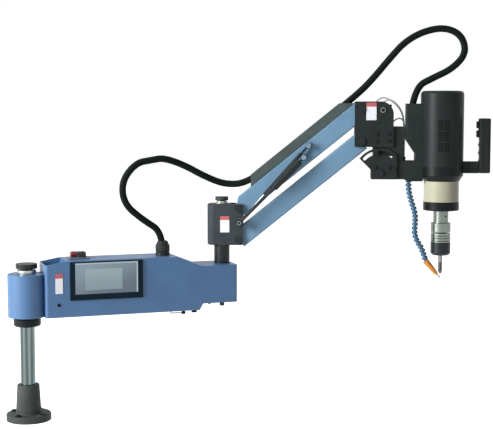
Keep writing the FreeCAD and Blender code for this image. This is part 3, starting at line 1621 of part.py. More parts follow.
def route_wire(points):
    """Straight runs joined by tangent arcs as large as their two runs allow."""
    points = [Vector(*point) for point in points]
    edges = []
    start = points[0]
    for before, corner, after in zip(points, points[1:], points[2:]):
        back = before - corner
        ahead = after - corner
        half_turn = (math.pi - back.getAngle(ahead)) / 2
        shorter = min(back.Length, ahead.Length)
        reach = 0.45 * shorter
        CORD_RADII.append(reach / math.tan(half_turn))
        back.normalize()
        ahead.normalize()
        arc_start = corner + back * reach
        arc_end = corner + ahead * reach
        bisector = back + ahead
        bisector.normalize()
        sagitta = CORD_RADII[-1] * (1 / math.cos(half_turn) - 1)
        edges.append(Part.LineSegment(start, arc_start).toShape())
        edges.append(Part.Arc(arc_start, corner + bisector * sagitta, arc_end).toShape())
        start = arc_end
    edges.append(Part.LineSegment(start, points[-1]).toShape())
    return Part.Wire(edges)


def cord(label, points, diameter):
    """A plain round cord along a route; its volume is its section times its length."""
    wire = route_wire(points)
    radius = diameter.value / 2
    along = Vector(*points[1]) - Vector(*points[0])
    section = Part.Wire(Part.makeCircle(radius, Vector(*points[0]), along))
    tube = wire.makePipeShell([section], True, True)
    expected = math.pi * radius ** 2 * wire.Length
    print(f"{label}: length {wire.Length:.1f}, volume ratio {tube.Volume / expected:.4f}, "
          f"smallest radius {min(CORD_RADII):.1f}")
    CORD_RADII.clear()
    feature = doc.addObject("Part::Feature", label)
    feature.Shape = tube
    feature.Label = label
    return feature


BOX_CONDUIT = (
    (361, 0, 423), (361, 0, 477), (306, -2, 512), (256, -5, 555), (250, -7, 614), (288, -8, 662),
    (332, -7.4, 669))
TRAY_CONDUIT = (
    (332.3, -7.4, 669.1), (364, -7, 674.1), (421, -4, 654), (476, -1, 624), (534, -5, 600), (589, -26, 604),
    (627.8, -40.9, 635.2))
LINK_CONDUIT = (
    (294.6, 0, 786.2), (357.5, 0, 837.2), (400, 0, 879), (452, 0, 942), (487, 0, 980), (535, 0, 1007),
    (562.5, -1, 1012))
MOTOR_CONDUIT = (
    (562.8, -1, 1012.1), (590, -2, 1017), (634, -6, 997), (647, -8, 949), (612, -6, 909), (560, -2, 884),
    (518, 0, 862), (509, 0, 819.3))
AIR_TUBES = (
    ((408, 6, 815.9), (422, 6, 836.5), (454, 6, 826.5), (482, 6, 796), (486.8, 6, 757), (487.2, 6, 712),
     (486.8, 6, 666.6)),
    ((426, -6, 816.2), (442, -6, 831.5), (468, -6, 817), (484.5, -6, 786), (487, -6, 749),
     (487.2, -6, 708), (486.8, -6, 666.6)),
    ((454.2, 0, 765), (467, 0, 780), (485.5, 0, 775), (488, 0, 748), (486.8, 0, 709), (486.8, 0, 666.6)))


def cords():
    keep(cord("box_conduit", BOX_CONDUIT, s.conduit_diameter))
    keep(cord("tray_conduit", TRAY_CONDUIT, s.conduit_diameter))
    for label, route in (("link_conduit", LINK_CONDUIT), ("motor_conduit", MOTOR_CONDUIT)):
        tube = keep(cord(label, route, s.conduit_diameter))
        tube.Placement = ARM.placement
    tubes = [cord(f"air_tube_{number}", route, s.air_tube_diameter)
             for number, route in enumerate(AIR_TUBES, start=1)]
    for tube in tubes:
        tube.Placement = ARM.placement
    group("air_tubes", tubes)


# ----------------------------------------------------------------------------- the machine
def build():
    base_flange()
    column()
    column_collar()
    column_thrust_ring()
    column_knob()
    swivel_hub()
    hub_bushes()
    control_box()
    box_base_cover()
    control_box_screws()
    rubber_feet()
    screen_bezel()
    screen_glass()
    stop_switch_body()
    stop_button()
    conduit_gland()
    elbow_shaft()
    elbow_block()
    elbow_bushes()
    elbow_clamp_ring()
    elbow_knob()
    elbow_pins()
    link("upper_link", UPPER_LINK)
    link("lower_link", LOWER_LINK)
    cable_tray()
    spring_bracket()
    REAR_SPRING.cylinder("rear_spring_cylinder")
    REAR_SPRING.rod_piece("rear_spring_rod")
    FRONT_SPRING.cylinder("front_spring_cylinder")
    FRONT_SPRING.rod_piece("front_spring_rod")
    head_plates()
    head_spacer()
    head_pins()
    head_screws()
    tilt_hanger()
    tilt_fan_plate()
    motor_bracket()
    bracket_screws()
    conduit_cover()
    motor_housing()
    gearbox_flange()
    gearbox()
    clutch_ring()
    handle_bar()
    handle_grip()
    push_buttons()
    spindle_shank()
    tap_chuck()
    chuck_sleeve()
    tap_adapter()
    tap()
    coolant_nozzle(coolant_hose())
    cords()


def check():
    """Stops the build when any object failed or any node's shape is unsound."""
    failed = [thing.Name for thing in doc.Objects if {"Invalid", "Error"} & set(thing.State)]
    unsound = [node.Label for node in NODES if node.Shape.isNull() or not node.Shape.isValid()]
    if failed or unsound:
        raise RuntimeError(f"failed: {failed}, unsound: {unsound}")


build()
doc.recompute()
check()
os.makedirs("parts", exist_ok=True)
for node in NODES:
    node.Shape.exportStep(f"parts/{node.Label}.step")
print(f"{len(NODES)} nodes written")
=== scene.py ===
"""Dresses the swing-arm tapping machine: finishes, conduits, plates, threads, studio and camera."""

import logging
import math
from dataclasses import dataclass, field
from enum import Enum
from typing import Any, Callable, ClassVar, Sequence

import bmesh
import bpy
from mathutils import Matrix, Vector


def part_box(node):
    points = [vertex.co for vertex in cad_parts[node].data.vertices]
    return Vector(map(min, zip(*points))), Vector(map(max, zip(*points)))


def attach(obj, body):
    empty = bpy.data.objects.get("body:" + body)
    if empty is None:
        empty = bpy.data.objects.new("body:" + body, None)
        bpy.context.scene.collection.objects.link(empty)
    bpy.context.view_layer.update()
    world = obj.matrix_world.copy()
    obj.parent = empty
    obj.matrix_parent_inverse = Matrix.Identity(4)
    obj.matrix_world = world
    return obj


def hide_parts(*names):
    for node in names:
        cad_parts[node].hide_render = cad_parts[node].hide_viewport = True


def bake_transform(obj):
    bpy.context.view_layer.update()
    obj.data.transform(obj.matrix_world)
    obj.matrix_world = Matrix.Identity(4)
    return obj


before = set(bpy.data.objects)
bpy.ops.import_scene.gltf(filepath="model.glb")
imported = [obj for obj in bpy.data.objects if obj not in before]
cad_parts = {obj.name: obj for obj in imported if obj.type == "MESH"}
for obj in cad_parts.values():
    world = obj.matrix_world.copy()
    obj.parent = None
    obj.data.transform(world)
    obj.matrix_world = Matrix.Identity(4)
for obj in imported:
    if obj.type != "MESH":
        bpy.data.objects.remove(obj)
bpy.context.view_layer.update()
NODES: dict[str, bpy.types.Object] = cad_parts
MM = 0.001
LOG = logging.getLogger("tapping_machine")

Point = tuple[float, float, float]
Colour = tuple[float, float, float]


# ---- colours
def srgb(red: float, green: float, blue: float) -> Colour:
    """Turns display values from 0 to 255 into scene-linear colour.

    Args:
        red: Red channel.
        green: Green channel.
        blue: Blue channel.

    Returns:
        The linear colour.
    """
    def linear(value: float) -> float:
        """Undoes the display curve of one channel."""
        part = value / 255
        return part / 12.92 if part <= 0.04045 else ((part + 0.055) / 1.055) ** 2.4
    return (linear(red), linear(green), linear(blue))


def scaled(colour: Colour, factor: float) -> Colour:
    """A colour made lighter or darker."""
    return tuple(min(1.0, channel * factor) for channel in colour)


# ---- places on the machine
@dataclass(frozen=True)
class Place:
    """A frame in the machine: a point and a turn about the upright axis."""

    x: float
    y: float
    z: float
    turn: float = 0.0

    def matrix(self) -> Matrix:
        """The frame's matrix."""
        return Matrix.Translation((self.x, self.y, self.z)) @ Matrix.Rotation(math.radians(self.turn), 4, "Z")

    def at(self, point: Sequence[float]) -> Vector:
        """A point of the frame, in the machine."""
        return self.matrix() @ Vector(point)

    def at_mm(self, point: Point) -> Vector:
        """A point of the frame that is given in millimetres, in the machine."""
        return self.at([value * MM for value in point])


# The arm's frame stands on the elbow's axis; lengths along it are in metres.
WORLD = Place(0, 0, 0)
ARM = Place(0.5265, 0, 0, -22)
LINK_ANGLE = math.radians(39)
LINK_LENGTH = 0.4204
ELBOW_PIN = (0.0465, 0.538)
HEAD_REACH = ELBOW_PIN[0] + LINK_LENGTH * math.cos(LINK_ANGLE)
HEAD_HEIGHT = ELBOW_PIN[1] + LINK_LENGTH * math.sin(LINK_ANGLE)
HEAD = Place(*ARM.at((HEAD_REACH, 0, HEAD_HEIGHT)), ARM.turn)
TILT_REACH = 0.0487
MOTOR_REACH = 0.165
MOTOR_ALONG = HEAD_REACH + TILT_REACH + MOTOR_REACH
MOTOR = ARM.at((MOTOR_ALONG, 0, 0))


def link_object(name: str, data: Any) -> bpy.types.Object:
    """Makes an object in the scene."""
    made = bpy.data.objects.new(name, data)
    bpy.context.scene.collection.objects.link(made)
    return made


def level_ring(radii: Sequence[float], height: float, x: float = 0.0, y: float = 0.0) -> list[Point]:
    """A level ring of points about an upright axis, in metres.

    Args:
        radii: Its radius at each point.
        height: Its height.
        x: The axis's place along X.
        y: The axis's place along Y.

    Returns:
        The points.
    """
    turns = [math.tau * step / len(radii) for step in range(len(radii))]
    return [(x + radius * math.cos(turn), y + radius * math.sin(turn), height)
            for radius, turn in zip(radii, turns)]


def ring_piece(name: str, rings: Sequence[Sequence[Point]], looped: bool = False,
               place: Place = WORLD) -> bpy.types.Object:
    """Makes a closed piece from rings of points.

    Args:
        name: The piece's name.
        rings: The rings, in metres, all with as many points.
        looped: Whether the last ring meets the first, instead of both being capped.
        place: The frame that the points are in.

    Returns:
        The piece, at the origin, with its place in its mesh.
    """
    work = bmesh.new()
    made = [[work.verts.new(point) for point in ring] for ring in rings]
    pairs = list(zip(made, made[1:]))
    if looped:
        pairs.append((made[-1], made[0]))
    else:
        work.faces.new(made[0][::-1])
        work.faces.new(made[-1])
    for low, high in pairs:
        for i in range(len(low)):
            j = (i + 1) % len(low)
            work.faces.new((low[i], low[j], high[j], high[i]))
    bmesh.ops.recalc_face_normals(work, faces=work.faces)
    mesh = bpy.data.meshes.new(name)
    work.to_mesh(mesh)
    work.free()
    mesh.transform(place.matrix())
    return link_object(name, mesh)


# ---- node expressions
# Places of the factor and the colours among a Mix node's inputs, and of the colour among its outputs.
MIX_FACTOR, MIX_FIRST, MIX_SECOND, MIX_RESULT = 0, 6, 7, 2


def maths(operation: str) -> Callable[..., "Value"]:
    """A method of a value that adds one kind of Math node.

    Args:
        operation: The node's operation.

    Returns:
        The method.
    """
    def method(value: "Value", *others: Any) -> "Value":
        """Adds the node."""
        return value.math(operation, *others)
    return method


class Value:
    """An output of a node, which takes part in Python arithmetic where it is a number."""

    def __init__(self, tree: "Nodes", socket: bpy.types.NodeSocket) -> None:
        """Keeps the tree and the socket."""
        self.tree = tree
        self.socket = socket

    __add__ = __radd__ = maths("ADD")
    __mul__ = __rmul__ = maths("MULTIPLY")
    __sub__ = maths("SUBTRACT")
    __truediv__ = maths("DIVIDE")
    __gt__ = maths("GREATER_THAN")
    __lt__ = maths("LESS_THAN")
    __abs__ = maths("ABSOLUTE")

    def __rsub__(self, other: Any) -> "Value":
        """Difference with a number first."""
        return (self * -1) + other

    def math(self, operation: str, *others: Any) -> "Value":
        """Adds a Math node.

        Args:
            operation: The node's operation.
            others: The further operands, values or numbers.

        Returns:
            The node's result.
        """
        operands = dict(enumerate([self, *others]))
        return self.tree.add("ShaderNodeMath", {"operation": operation}, operands)

    def of(self, name: str | int) -> "Value":
        """Another output of the same node."""
        return Value(self.tree, self.socket.node.outputs[name])

    def ramp(self, low: float, high: float, start: float = 0.0, end: float = 1.0) -> "Value":
        """Maps a range smoothly onto another.

        Args:
            low: Where the range starts.
            high: Where the range ends.
            start: The result at the start.
            end: The result at the end.

        Returns:
            The mapped value, clamped to the new range.
        """
        sockets = {"Value": self, "From Min": low, "From Max": high, "To Min": start, "To Max": end}
        return self.tree.add("ShaderNodeMapRange", {"interpolation_type": "SMOOTHSTEP"}, sockets)


class Nodes:
    """A node tree that is built by name."""

    def __init__(self, group: bpy.types.NodeTree) -> None:
        """Keeps the tree's nodes and links."""
        self.nodes = group.nodes
        self.links = group.links

    def add(self, kind: str, settings: dict[str, Any] | None = None,
            sockets: dict[str | int, Any] | None = None) -> Value:
        """Adds a node.

        Args:
            kind: The node's type.
            settings: Properties of the node, set first.
            sockets: Values or links of its inputs.

        Returns:
            Its first output.
        """
        node = self.nodes.new(kind)
        for name, setting in (settings or {}).items():
            setattr(node, name, setting)
        for name, given in (sockets or {}).items():
            self.feed(node.inputs[name], given)
        return Value(self, node.outputs[0])

    def feed(self, socket: bpy.types.NodeSocket, given: Any) -> None:
        """Links or sets one input.

        Args:
            socket: The input.
            given: A node's output, a number, a colour or a vector.
        """
        if isinstance(given, Value):
            self.links.new(given.socket, socket)
        elif socket.type == "RGBA":
            socket.default_value = (*given, 1)
        else:
            socket.default_value = given


class Tree(Nodes):
    """The shader tree of a material or of the world, with its main shader."""

    def __init__(self, owner: bpy.types.Material | bpy.types.World, shader: str) -> None:
        """Opens the tree.

        Args:
            owner: What the tree belongs to.
            shader: The name of its main shader.
        """
        owner.use_nodes = True
        super().__init__(owner.node_tree)
        self.shader = self.nodes[shader]

    def set(self, **sockets: Any) -> None:
        """Feeds inputs of the main shader; underscores stand for spaces."""
        for name, given in sockets.items():
            self.feed(self.shader.inputs[name.replace("_", " ")], given)

    def place(self) -> Value:
        """The place on the object, in metres."""
        return self.add("ShaderNodeTexCoord").of("Object")

    def axis(self, name: str) -> Value:
        """One coordinate of the place on the object."""
        return self.add("ShaderNodeSeparateXYZ", None, {0: self.place()}).of(name)

    def looked_at(self) -> Value:
        """One for rays that come from the camera, from a gloss or through a clear piece, else zero."""
        path = self.add("ShaderNodeLightPath")
        seen = path.of("Is Camera Ray").math("MAXIMUM", path.of("Is Glossy Ray"))
        return seen.math("MAXIMUM", path.of("Is Transmission Ray"))

    def noise(self, scale: float, detail: float = 3.0, stretch: Point = (1, 1, 1),
              roughness: float = 0.55) -> Value:
        """Noise on the object.

        Args:
            scale: Cells per metre.
            detail: Octaves.
            stretch: Factors on the three axes.
            roughness: Weight of the finer octaves.

        Returns:
            A value about 0.5.
        """
        mapped = self.add("ShaderNodeMapping", None, {"Vector": self.place(), "Scale": stretch})
        return self.add("ShaderNodeTexNoise", None, {
            "Vector": mapped, "Scale": scale, "Detail": detail, "Roughness": roughness}).of("Fac")

    def pebbles(self, scale: float, feature: str) -> Value:
        """Distance from the middle of the nearest cell.

        Args:
            scale: Cells per metre.
            feature: The kind of cells.

        Returns:
            The distance.
        """
        return self.add("ShaderNodeTexVoronoi", {"feature": feature}, {
            "Vector": self.place(), "Scale": scale}).of("Distance")

    def blend(self, factor: Any, first: Any, second: Any) -> Value:
        """Mixes two colours.

        Args:
            factor: Share of the second.
            first: A colour or an output.
            second: A colour or an output.

        Returns:
            The mixed colour.
        """
        return self.add("ShaderNodeMix", {"data_type": "RGBA"}, {
            MIX_FACTOR: factor, MIX_FIRST: first, MIX_SECOND: second}).of(MIX_RESULT)

    def mottled(self, mask: Value, colour: Colour, dark: float, light: float) -> Value:
        """A colour that varies with a mask.

        Args:
            mask: Zero where it is dark, one where it is light.
            colour: The colour.
            dark: Its factor where it is dark.
            light: Its factor where it is light.

        Returns:
            The varied colour.
        """
        return self.blend(mask, scaled(colour, dark), scaled(colour, light))

    def bump(self, height: Value, strength: float, distance: float) -> None:
        """Feeds the normal from a height."""
        sockets = {"Height": height, "Strength": strength, "Distance": distance}
        self.set(Normal=self.add("ShaderNodeBump", None, sockets))


# ---- finishes
@dataclass(frozen=True)
class Look:
    """A finish: its name and how its material is made."""

    name: str

    def material(self) -> bpy.types.Material:
        """Builds the material."""
        made = bpy.data.materials.new(self.name)
        self.fill(Tree(made, "Principled BSDF"))
        return made

    def fill(self, tree: Tree) -> None:
        """Adds the finish's nodes.

        Args:
            tree: The material's tree.
        """
        raise NotImplementedError


@dataclass(frozen=True)
class Paint(Look):
    """Sprayed coat with orange peel, faint soft patches and a little settled dust."""

    colour: Colour
    roughness: float = 0.32
    specular: float = 0.45
    peel: float = 0.12

    def fill(self, tree: Tree) -> None:
        """Adds the coat's nodes."""
        base = tree.mottled(tree.noise(14.0, 4.0).ramp(0.3, 0.7), self.colour, 0.94, 1.05)
        dust = tree.noise(60.0, 6.0, roughness=0.7).ramp(0.45, 0.95, 0.0, 0.05)
        grey = sum(self.colour) / 3 + 0.06
        sheen = tree.noise(35.0, 4.0).ramp(0.2, 0.8, self.roughness - 0.05, self.roughness + 0.07)
        tree.set(Base_Color=tree.blend(dust, base, (grey, grey, grey)), Roughness=sheen,
                 Specular_IOR_Level=self.specular)
        tree.bump(tree.noise(900.0, 2.0), self.peel, 0.0004)


@dataclass(frozen=True)
class Textured(Look):
    """Powder coat or moulded plastic with a fine pebbled grain."""

    colour: Colour
    roughness: float = 0.5
    specular: float = 0.3
    grain: float = 0.35
    grain_scale: float = 1600.0

    def fill(self, tree: Tree) -> None:
        """Adds the coat's nodes."""
        pebbles = tree.pebbles(self.grain_scale, "SMOOTH_F1")
        rubbed = tree.noise(130.0, 6.0, roughness=0.75).ramp(0.62, 0.85, 0.0, 0.35)
        base = tree.mottled(tree.noise(22.0, 5.0).ramp(0.3, 0.75), self.colour, 0.86, 1.12)
        tree.set(Base_Color=tree.blend(rubbed, base, scaled(self.colour, 1.7)),
                 Roughness=pebbles.ramp(0.1, 0.8, self.roughness + 0.08, self.roughness - 0.06),
                 Specular_IOR_Level=self.specular)
        tree.bump(pebbles, self.grain, 0.00035)


@dataclass(frozen=True)
class Metal(Look):
    """Bare, plated or blackened metal with fine lines along one way; at a high contrast the lines in its
    colour are painted reflection streaks, as on the chrome column.
    """

    colour: Colour
    roughness: float = 0.2
    lines: Point = (1, 1, 30)
    line_scale: float = 90.0
    line_depth: float = 0.05
    metallic: float = 1.0
    lines_and_reflection_contrast: float = 1.0

    def fill(self, tree: Tree) -> None:
        """Adds the metal's nodes."""
        lines_and_reflection_streaks = tree.noise(self.line_scale, 3.0, self.lines)
        smudge = tree.noise(18.0, 5.0).ramp(0.35, 0.75)
        # The lines in the base colour are partly real polishing lines and, at a high contrast, painted
        # reflection streaks.
        lines_and_reflection_tint = tree.mottled(lines_and_reflection_streaks.ramp(0.35, 0.65), self.colour, 1 - 0.14 * self.lines_and_reflection_contrast,
                            1 + 0.08 * self.lines_and_reflection_contrast)
        sheen = lines_and_reflection_streaks.ramp(0.2, 0.8, self.roughness - 0.04, self.roughness + 0.05)
        tree.set(Base_Color=tree.blend(smudge * 0.25, lines_and_reflection_tint, scaled(self.colour, 0.72)),
                 Metallic=self.metallic, Roughness=(smudge * 0.10) + sheen)
        tree.bump(lines_and_reflection_streaks, self.line_depth, 0.0002)


@dataclass(frozen=True)
class Grooved(Look):
    """Round part about the spindle's axis whose cuts below the surface are painted near black as painted
    shade.
    """

    colour: Colour
    cut_shade_colour: Colour
    radius: float
    low: float
    high: float
    roughness: float = 0.3
    metallic: float = 0.0
    specular: float = 0.12

    def fill(self, tree: Tree) -> None:
        """Adds the part's nodes."""
        x, y, z = tree.axis("X") - MOTOR.x, tree.axis("Y") - MOTOR.y, tree.axis("Z")
        inside = ((x * x) + (y * y)) < self.radius ** 2
        # Painted shade: the cuts below the surface get a near-black colour and lose their metal.
        cut = inside * (z > self.low) * (z < self.high)
        rings = tree.noise(900.0, 3.0, (0.05, 0.05, 1.0))
        base = tree.mottled(tree.noise(22.0, 5.0).ramp(0.3, 0.75), self.colour, 0.9, 1.08)
        tree.set(Base_Color=tree.blend(cut, base, self.cut_shade_colour),
                 Roughness=rings.ramp(0.2, 0.8, self.roughness - 0.05, self.roughness + 0.08),
                 Metallic=(1 - cut) * self.metallic, Specular_IOR_Level=self.specular)
        tree.bump(rings, 0.04, 0.0002)


@dataclass(frozen=True)
class Layered(Look):
    """Moulding of two colours: the second shows above a height."""

    level: float
    plate: Colour
    body: Colour
    dust: Colour = (0.10, 0.105, 0.11)

    def fill(self, tree: Tree) -> None:
        """Adds the moulding's nodes."""
        grain = tree.noise(1500.0, 2.0)
        soft = tree.noise(40.0, 5.0).ramp(0.3, 0.7, 0.0, 0.25)
        shown = tree.blend(tree.axis("Z") > self.level, self.plate, self.body)
        tree.set(Base_Color=tree.blend(soft, shown, self.dust),
                 Roughness=grain.ramp(0.3, 0.7, 0.36, 0.50), Specular_IOR_Level=0.25)
        tree.bump(grain, 0.08, 0.0003)


@dataclass(frozen=True)
class Casting(Look):
    """Painted grey-iron casting: coarse skin, pits and lighter rubbed spots."""

    colour: Colour

    def fill(self, tree: Tree) -> None:
        """Adds the casting's nodes."""
        skin = tree.noise(260.0, 6.0, roughness=0.65)
        pits = tree.pebbles(420.0, "F1").ramp(0.0, 0.35)
        rubbed = tree.noise(70.0, 7.0, roughness=0.8).ramp(0.60, 0.80, 0.0, 0.5)
        base = tree.mottled(tree.noise(26.0, 5.0).ramp(0.3, 0.7), self.colour, 0.82, 1.15)
        tree.set(Base_Color=tree.blend(rubbed, base, scaled(self.colour, 1.6)),
                 Roughness=skin.ramp(0.3, 0.7, 0.48, 0.66), Specular_IOR_Level=0.16)
        tree.bump(skin * 0.7 + pits * 0.5, 0.45, 0.0009)


@dataclass(frozen=True)
class Moulded(Look):
    """Glossy moulded plastic with flow marks and fine scuffs."""

    colour: Colour
    roughness: float = 0.28
    alpha: float = 1.0

    def fill(self, tree: Tree) -> None:
        """Adds the plastic's nodes."""
        flow = tree.noise(45.0, 4.0, (1, 1, 0.3)).ramp(0.3, 0.7)
        scuff = tree.noise(600.0, 4.0, (1, 1, 0.1)).ramp(0.62, 0.8)
        tree.set(Base_Color=tree.mottled(flow, self.colour, 0.88, 1.10),
                 Roughness=scuff * 0.22 + self.roughness, Specular_IOR_Level=0.45, Alpha=self.alpha)
        tree.bump(scuff, 0.06, 0.0002)


@dataclass(frozen=True)
class Window:
    """A rectangle on an upright face, by its lowest and highest corner, in metres."""

    left: float
    right: float
    low: float
    high: float

    def inside(self, x: Value, z: Value, soft: float = 0.0006) -> Value:
        """One inside the rectangle, zero outside.

        Args:
            x: Horizontal coordinate.
            z: Vertical coordinate.
            soft: Width of the edge.

        Returns:
            The mask.
        """
        half_x = (self.right - self.left) / 2
        half_z = (self.high - self.low) / 2
        off_x = abs(x - (self.left + half_x)).ramp(half_x - soft, half_x + soft, 1.0, 0.0)
        off_z = abs(z - (self.low + half_z)).ramp(half_z - soft, half_z + soft, 1.0, 0.0)
        return off_x * off_z


@dataclass(frozen=True)
class Display(Look):
    """Lit panel behind glass: a grey-green page, lighter towards its upper left as a painted reflection, with
    one paler field and a pale rim at two edges.
    """

    window: Window
    pale: Window = Window(0.154, 0.748, 0.128, 0.805)
    rim_right: float = 0.0035
    rim_top: float = 0.003
    beyond: float = 0.01
    glass: float = 0.75
    glow: float = 0.72

    def fill(self, tree: Tree) -> None:
        """Adds the panel's nodes; the paler field is given in shares of the panel."""
        x, z = tree.axis("X"), tree.axis("Z")
        area, pale = self.window, self.pale
        width = area.right - area.left
        height = area.high - area.low
        across = (x - area.left) / width
        up = (z - area.low) / height
        field_box = Window(area.left + pale.left * width, area.left + pale.right * width,
                           area.low + pale.low * height, area.low + pale.high * height)
        # Painted reflection: the page lightens diagonally towards its upper left.
        painted_reflection_slope = (up * 0.6 + (1 - across) * 0.4).ramp(0.1, 0.95)
        page = tree.blend(painted_reflection_slope, srgb(74, 92, 106), srgb(122, 143, 153))
        field_colour = tree.blend(up.ramp(0.1, 0.9), srgb(116, 140, 148), srgb(136, 158, 165))
        shown = tree.blend(field_box.inside(x, z), page, field_colour)
        lit = Window(area.left - self.beyond, area.right - self.rim_right,
                     area.low - self.beyond, area.high - self.rim_top)
        colour = tree.blend(lit.inside(x, z, 0.0008), srgb(168, 184, 188), shown)
        tree.set(Base_Color=tree.blend(self.glass, colour, (0.02, 0.02, 0.02)),
                 Roughness=tree.noise(500.0, 2.0).ramp(0.3, 0.7, 0.06, 0.10),
                 Emission_Color=colour, Emission_Strength=self.glow, Specular_IOR_Level=0.5)


@dataclass(frozen=True)
class Banded(Look):
    """A printed plate: white, with one plain red band at its top."""

    low: float
    high: float
    band: float = 0.24
    edge: float = 0.015

    def fill(self, tree: Tree) -> None:
        """Adds the plate's nodes; the band and its edge are shares of the height."""
        up = (tree.axis("Z") - self.low) / (self.high - self.low)
        red = up.ramp(1 - self.band - self.edge, 1 - self.band + self.edge)
        paper = tree.blend(tree.noise(240.0, 3.0).ramp(0.3, 0.7), srgb(214, 216, 222), srgb(228, 229, 233))
        tree.set(Base_Color=tree.blend(red, paper, srgb(172, 90, 92)), Roughness=0.42)


class Finish(Enum):
    """Every finish of the machine."""

    BLUE = Paint("blue_paint", srgb(69, 105, 145), 0.40, 0.44, 0.10)
    LINK_BLUE = Paint("link_blue_paint", srgb(101, 135, 161), 0.38, 0.30, 0.10)
    CREAM = Paint("cream_paint", srgb(174, 174, 151), 0.34, 0.25, 0.08)
    GAS = Paint("cylinder_enamel", srgb(30, 36, 38), 0.28, 0.16, 0.05)
    GREY = Textured("grey_powder_coat", srgb(38, 44, 43), 0.50, 0.08)
    BLOCK_GREY = Textured("block_powder_coat", srgb(53, 59, 62), 0.48, 0.12)
    FLANGE = Textured("flange_coat", srgb(20, 24, 25), 0.30, 0.14, 0.1, 1300.0)
    TRAY = Textured("tray_coat", srgb(70, 80, 80), 0.50, 0.14)
    BURNISHED = Textured("burnished_black", srgb(14, 18, 20), 0.34, 0.14, 0.06)
    BLACK = Textured("black_plastic", srgb(22, 25, 26), 0.44, 0.10)
    KNOB = Textured("knob_plastic", srgb(52, 58, 58), 0.46, 0.16)
    NUT = Textured("gland_plastic", srgb(34, 39, 39), 0.42, 0.2)
    CONDUIT = Textured("conduit_skin", srgb(19, 25, 25), 0.5, 0.04, 0.15, 1200.0)
    BEZEL = Textured("bezel_plastic", srgb(8, 28, 40), 0.34, 0.08, 0.12, 1800.0)
    RUBBER = Textured("foot_rubber", srgb(20, 20, 21), 0.7, 0.1)
    CASTING = Casting("base_casting", srgb(60, 65, 63))
    # The chrome column's strong vertical streaks in its colour are painted reflections.
    CHROME = Metal("hard_chrome", srgb(102, 115, 115), 0.12, (1, 1, 0.01), 95.0, 0.02, lines_and_reflection_contrast=4.2)
    RING = Metal("turned_ring", srgb(170, 178, 172), 0.22, (1, 1, 12), 160.0, 0.06)
    STEEL = Metal("ground_steel", srgb(127, 133, 128), 0.24, (1, 1, 12), 160.0, 0.06, lines_and_reflection_contrast=1.6)
    ZINC = Metal("zinc_plate", srgb(186, 188, 186), 0.32, (1, 1, 1), 300.0, 0.04)
    BLACK_OXIDE = Metal("black_oxide", srgb(38, 42, 44), 0.36, (1, 1, 8), 160.0, 0.05, 0.75)
    BRONZE = Metal("sintered_bronze", srgb(150, 146, 132), 0.45, (1, 1, 1), 500.0, 0.08)
    # The motor's vent slots and the chuck's grooves are painted near black as painted shade.
    MOTOR_COAT = Grooved("motor_coat", srgb(33, 38, 38), srgb(5, 6, 6), 0.0562, 0.68, 0.80, 0.36)
    CHUCK_STEEL = Grooved("chuck_steel", srgb(124, 131, 126), srgb(8, 9, 9), 0.0252, 0.4492, 0.4762, 0.24,
                          metallic=1.0, specular=0.5)
    SWITCH = Layered("stop_switch", 0.4193, srgb(100, 112, 118), srgb(20, 22, 24))
    NOZZLE = Layered("nozzle_orange", 0.3625, srgb(206, 200, 176), srgb(206, 136, 62), srgb(176, 104, 40))
    RED = Moulded("stop_red", srgb(108, 30, 36), 0.34)
    HOSE = Moulded("hose_teal", srgb(34, 84, 112), 0.34)
    CLEAR = Moulded("tube_clear", srgb(176, 180, 180), 0.22, 0.72)


class Wardrobe:
    """Makes each finish once and dresses objects with it."""

    def __init__(self) -> None:
        """Starts with no material made."""
        self.made: dict[str, bpy.types.Material] = {}

    def material(self, finish: Any) -> bpy.types.Material:
        """The material of a finish, made at its first use.

        Args:
            finish: The finish.

        Returns:
            The material.
        """
        recipe = finish.value if isinstance(finish, Enum) else finish
        if recipe.name not in self.made:
            self.made[recipe.name] = recipe.material()
        return self.made[recipe.name]

    def dress(self, finish: Any, *nodes: str) -> None:
        """Gives carried-over nodes a finish.

        Args:
            finish: The finish.
            nodes: The names of the nodes.
        """
        material = self.material(finish)
        for name in nodes:
            for slot in NODES[name].material_slots:
                slot.material = material
        LOG.info("%s on %s", material.name, ", ".join(nodes))

    def dress_piece(self, finish: Any, piece: bpy.types.Object) -> bpy.types.Object:
        """Gives a new piece one finish."""
        piece.data.materials.clear()
        piece.data.materials.append(self.material(finish))
        return piece


# ---- routes of the conduits
@dataclass(frozen=True)
class Route:
    """A flexible line: its points in millimetres, its diameter and what it joins.
    """

    name: str
    points: tuple[Point, ...]
    start: str
    end: str
    place: Place = WORLD
    diameter: float = 0.0185
    bend_from: Point | None = None
    stands_for: tuple[str, ...] = ()

    def curve(self) -> bpy.types.Object:
        """The line as a smooth spline with these points as its control points."""
        data = bpy.data.curves.new(self.name, "CURVE")
        data.dimensions = "3D"
        data.resolution_u = 24
        spline = data.splines.new("NURBS")
        spline.points.add(len(self.points) - 1)
        for point, control in zip(self.points, spline.points):
            control.co = (*self.place.at_mm(point), 1)
        spline.order_u = 3
        spline.use_endpoint_u = True
        return link_object(f"{self.name}_line", data)

    def line(self) -> tuple[bpy.types.Object, list[Vector]]:
        """The spline's object and the points along it."""
        curve = self.curve()
        graph = bpy.context.evaluated_depsgraph_get()
        mesh = bpy.data.meshes.new_from_object(curve.evaluated_get(graph))
        return curve, [vertex.co.copy() for vertex in mesh.vertices]


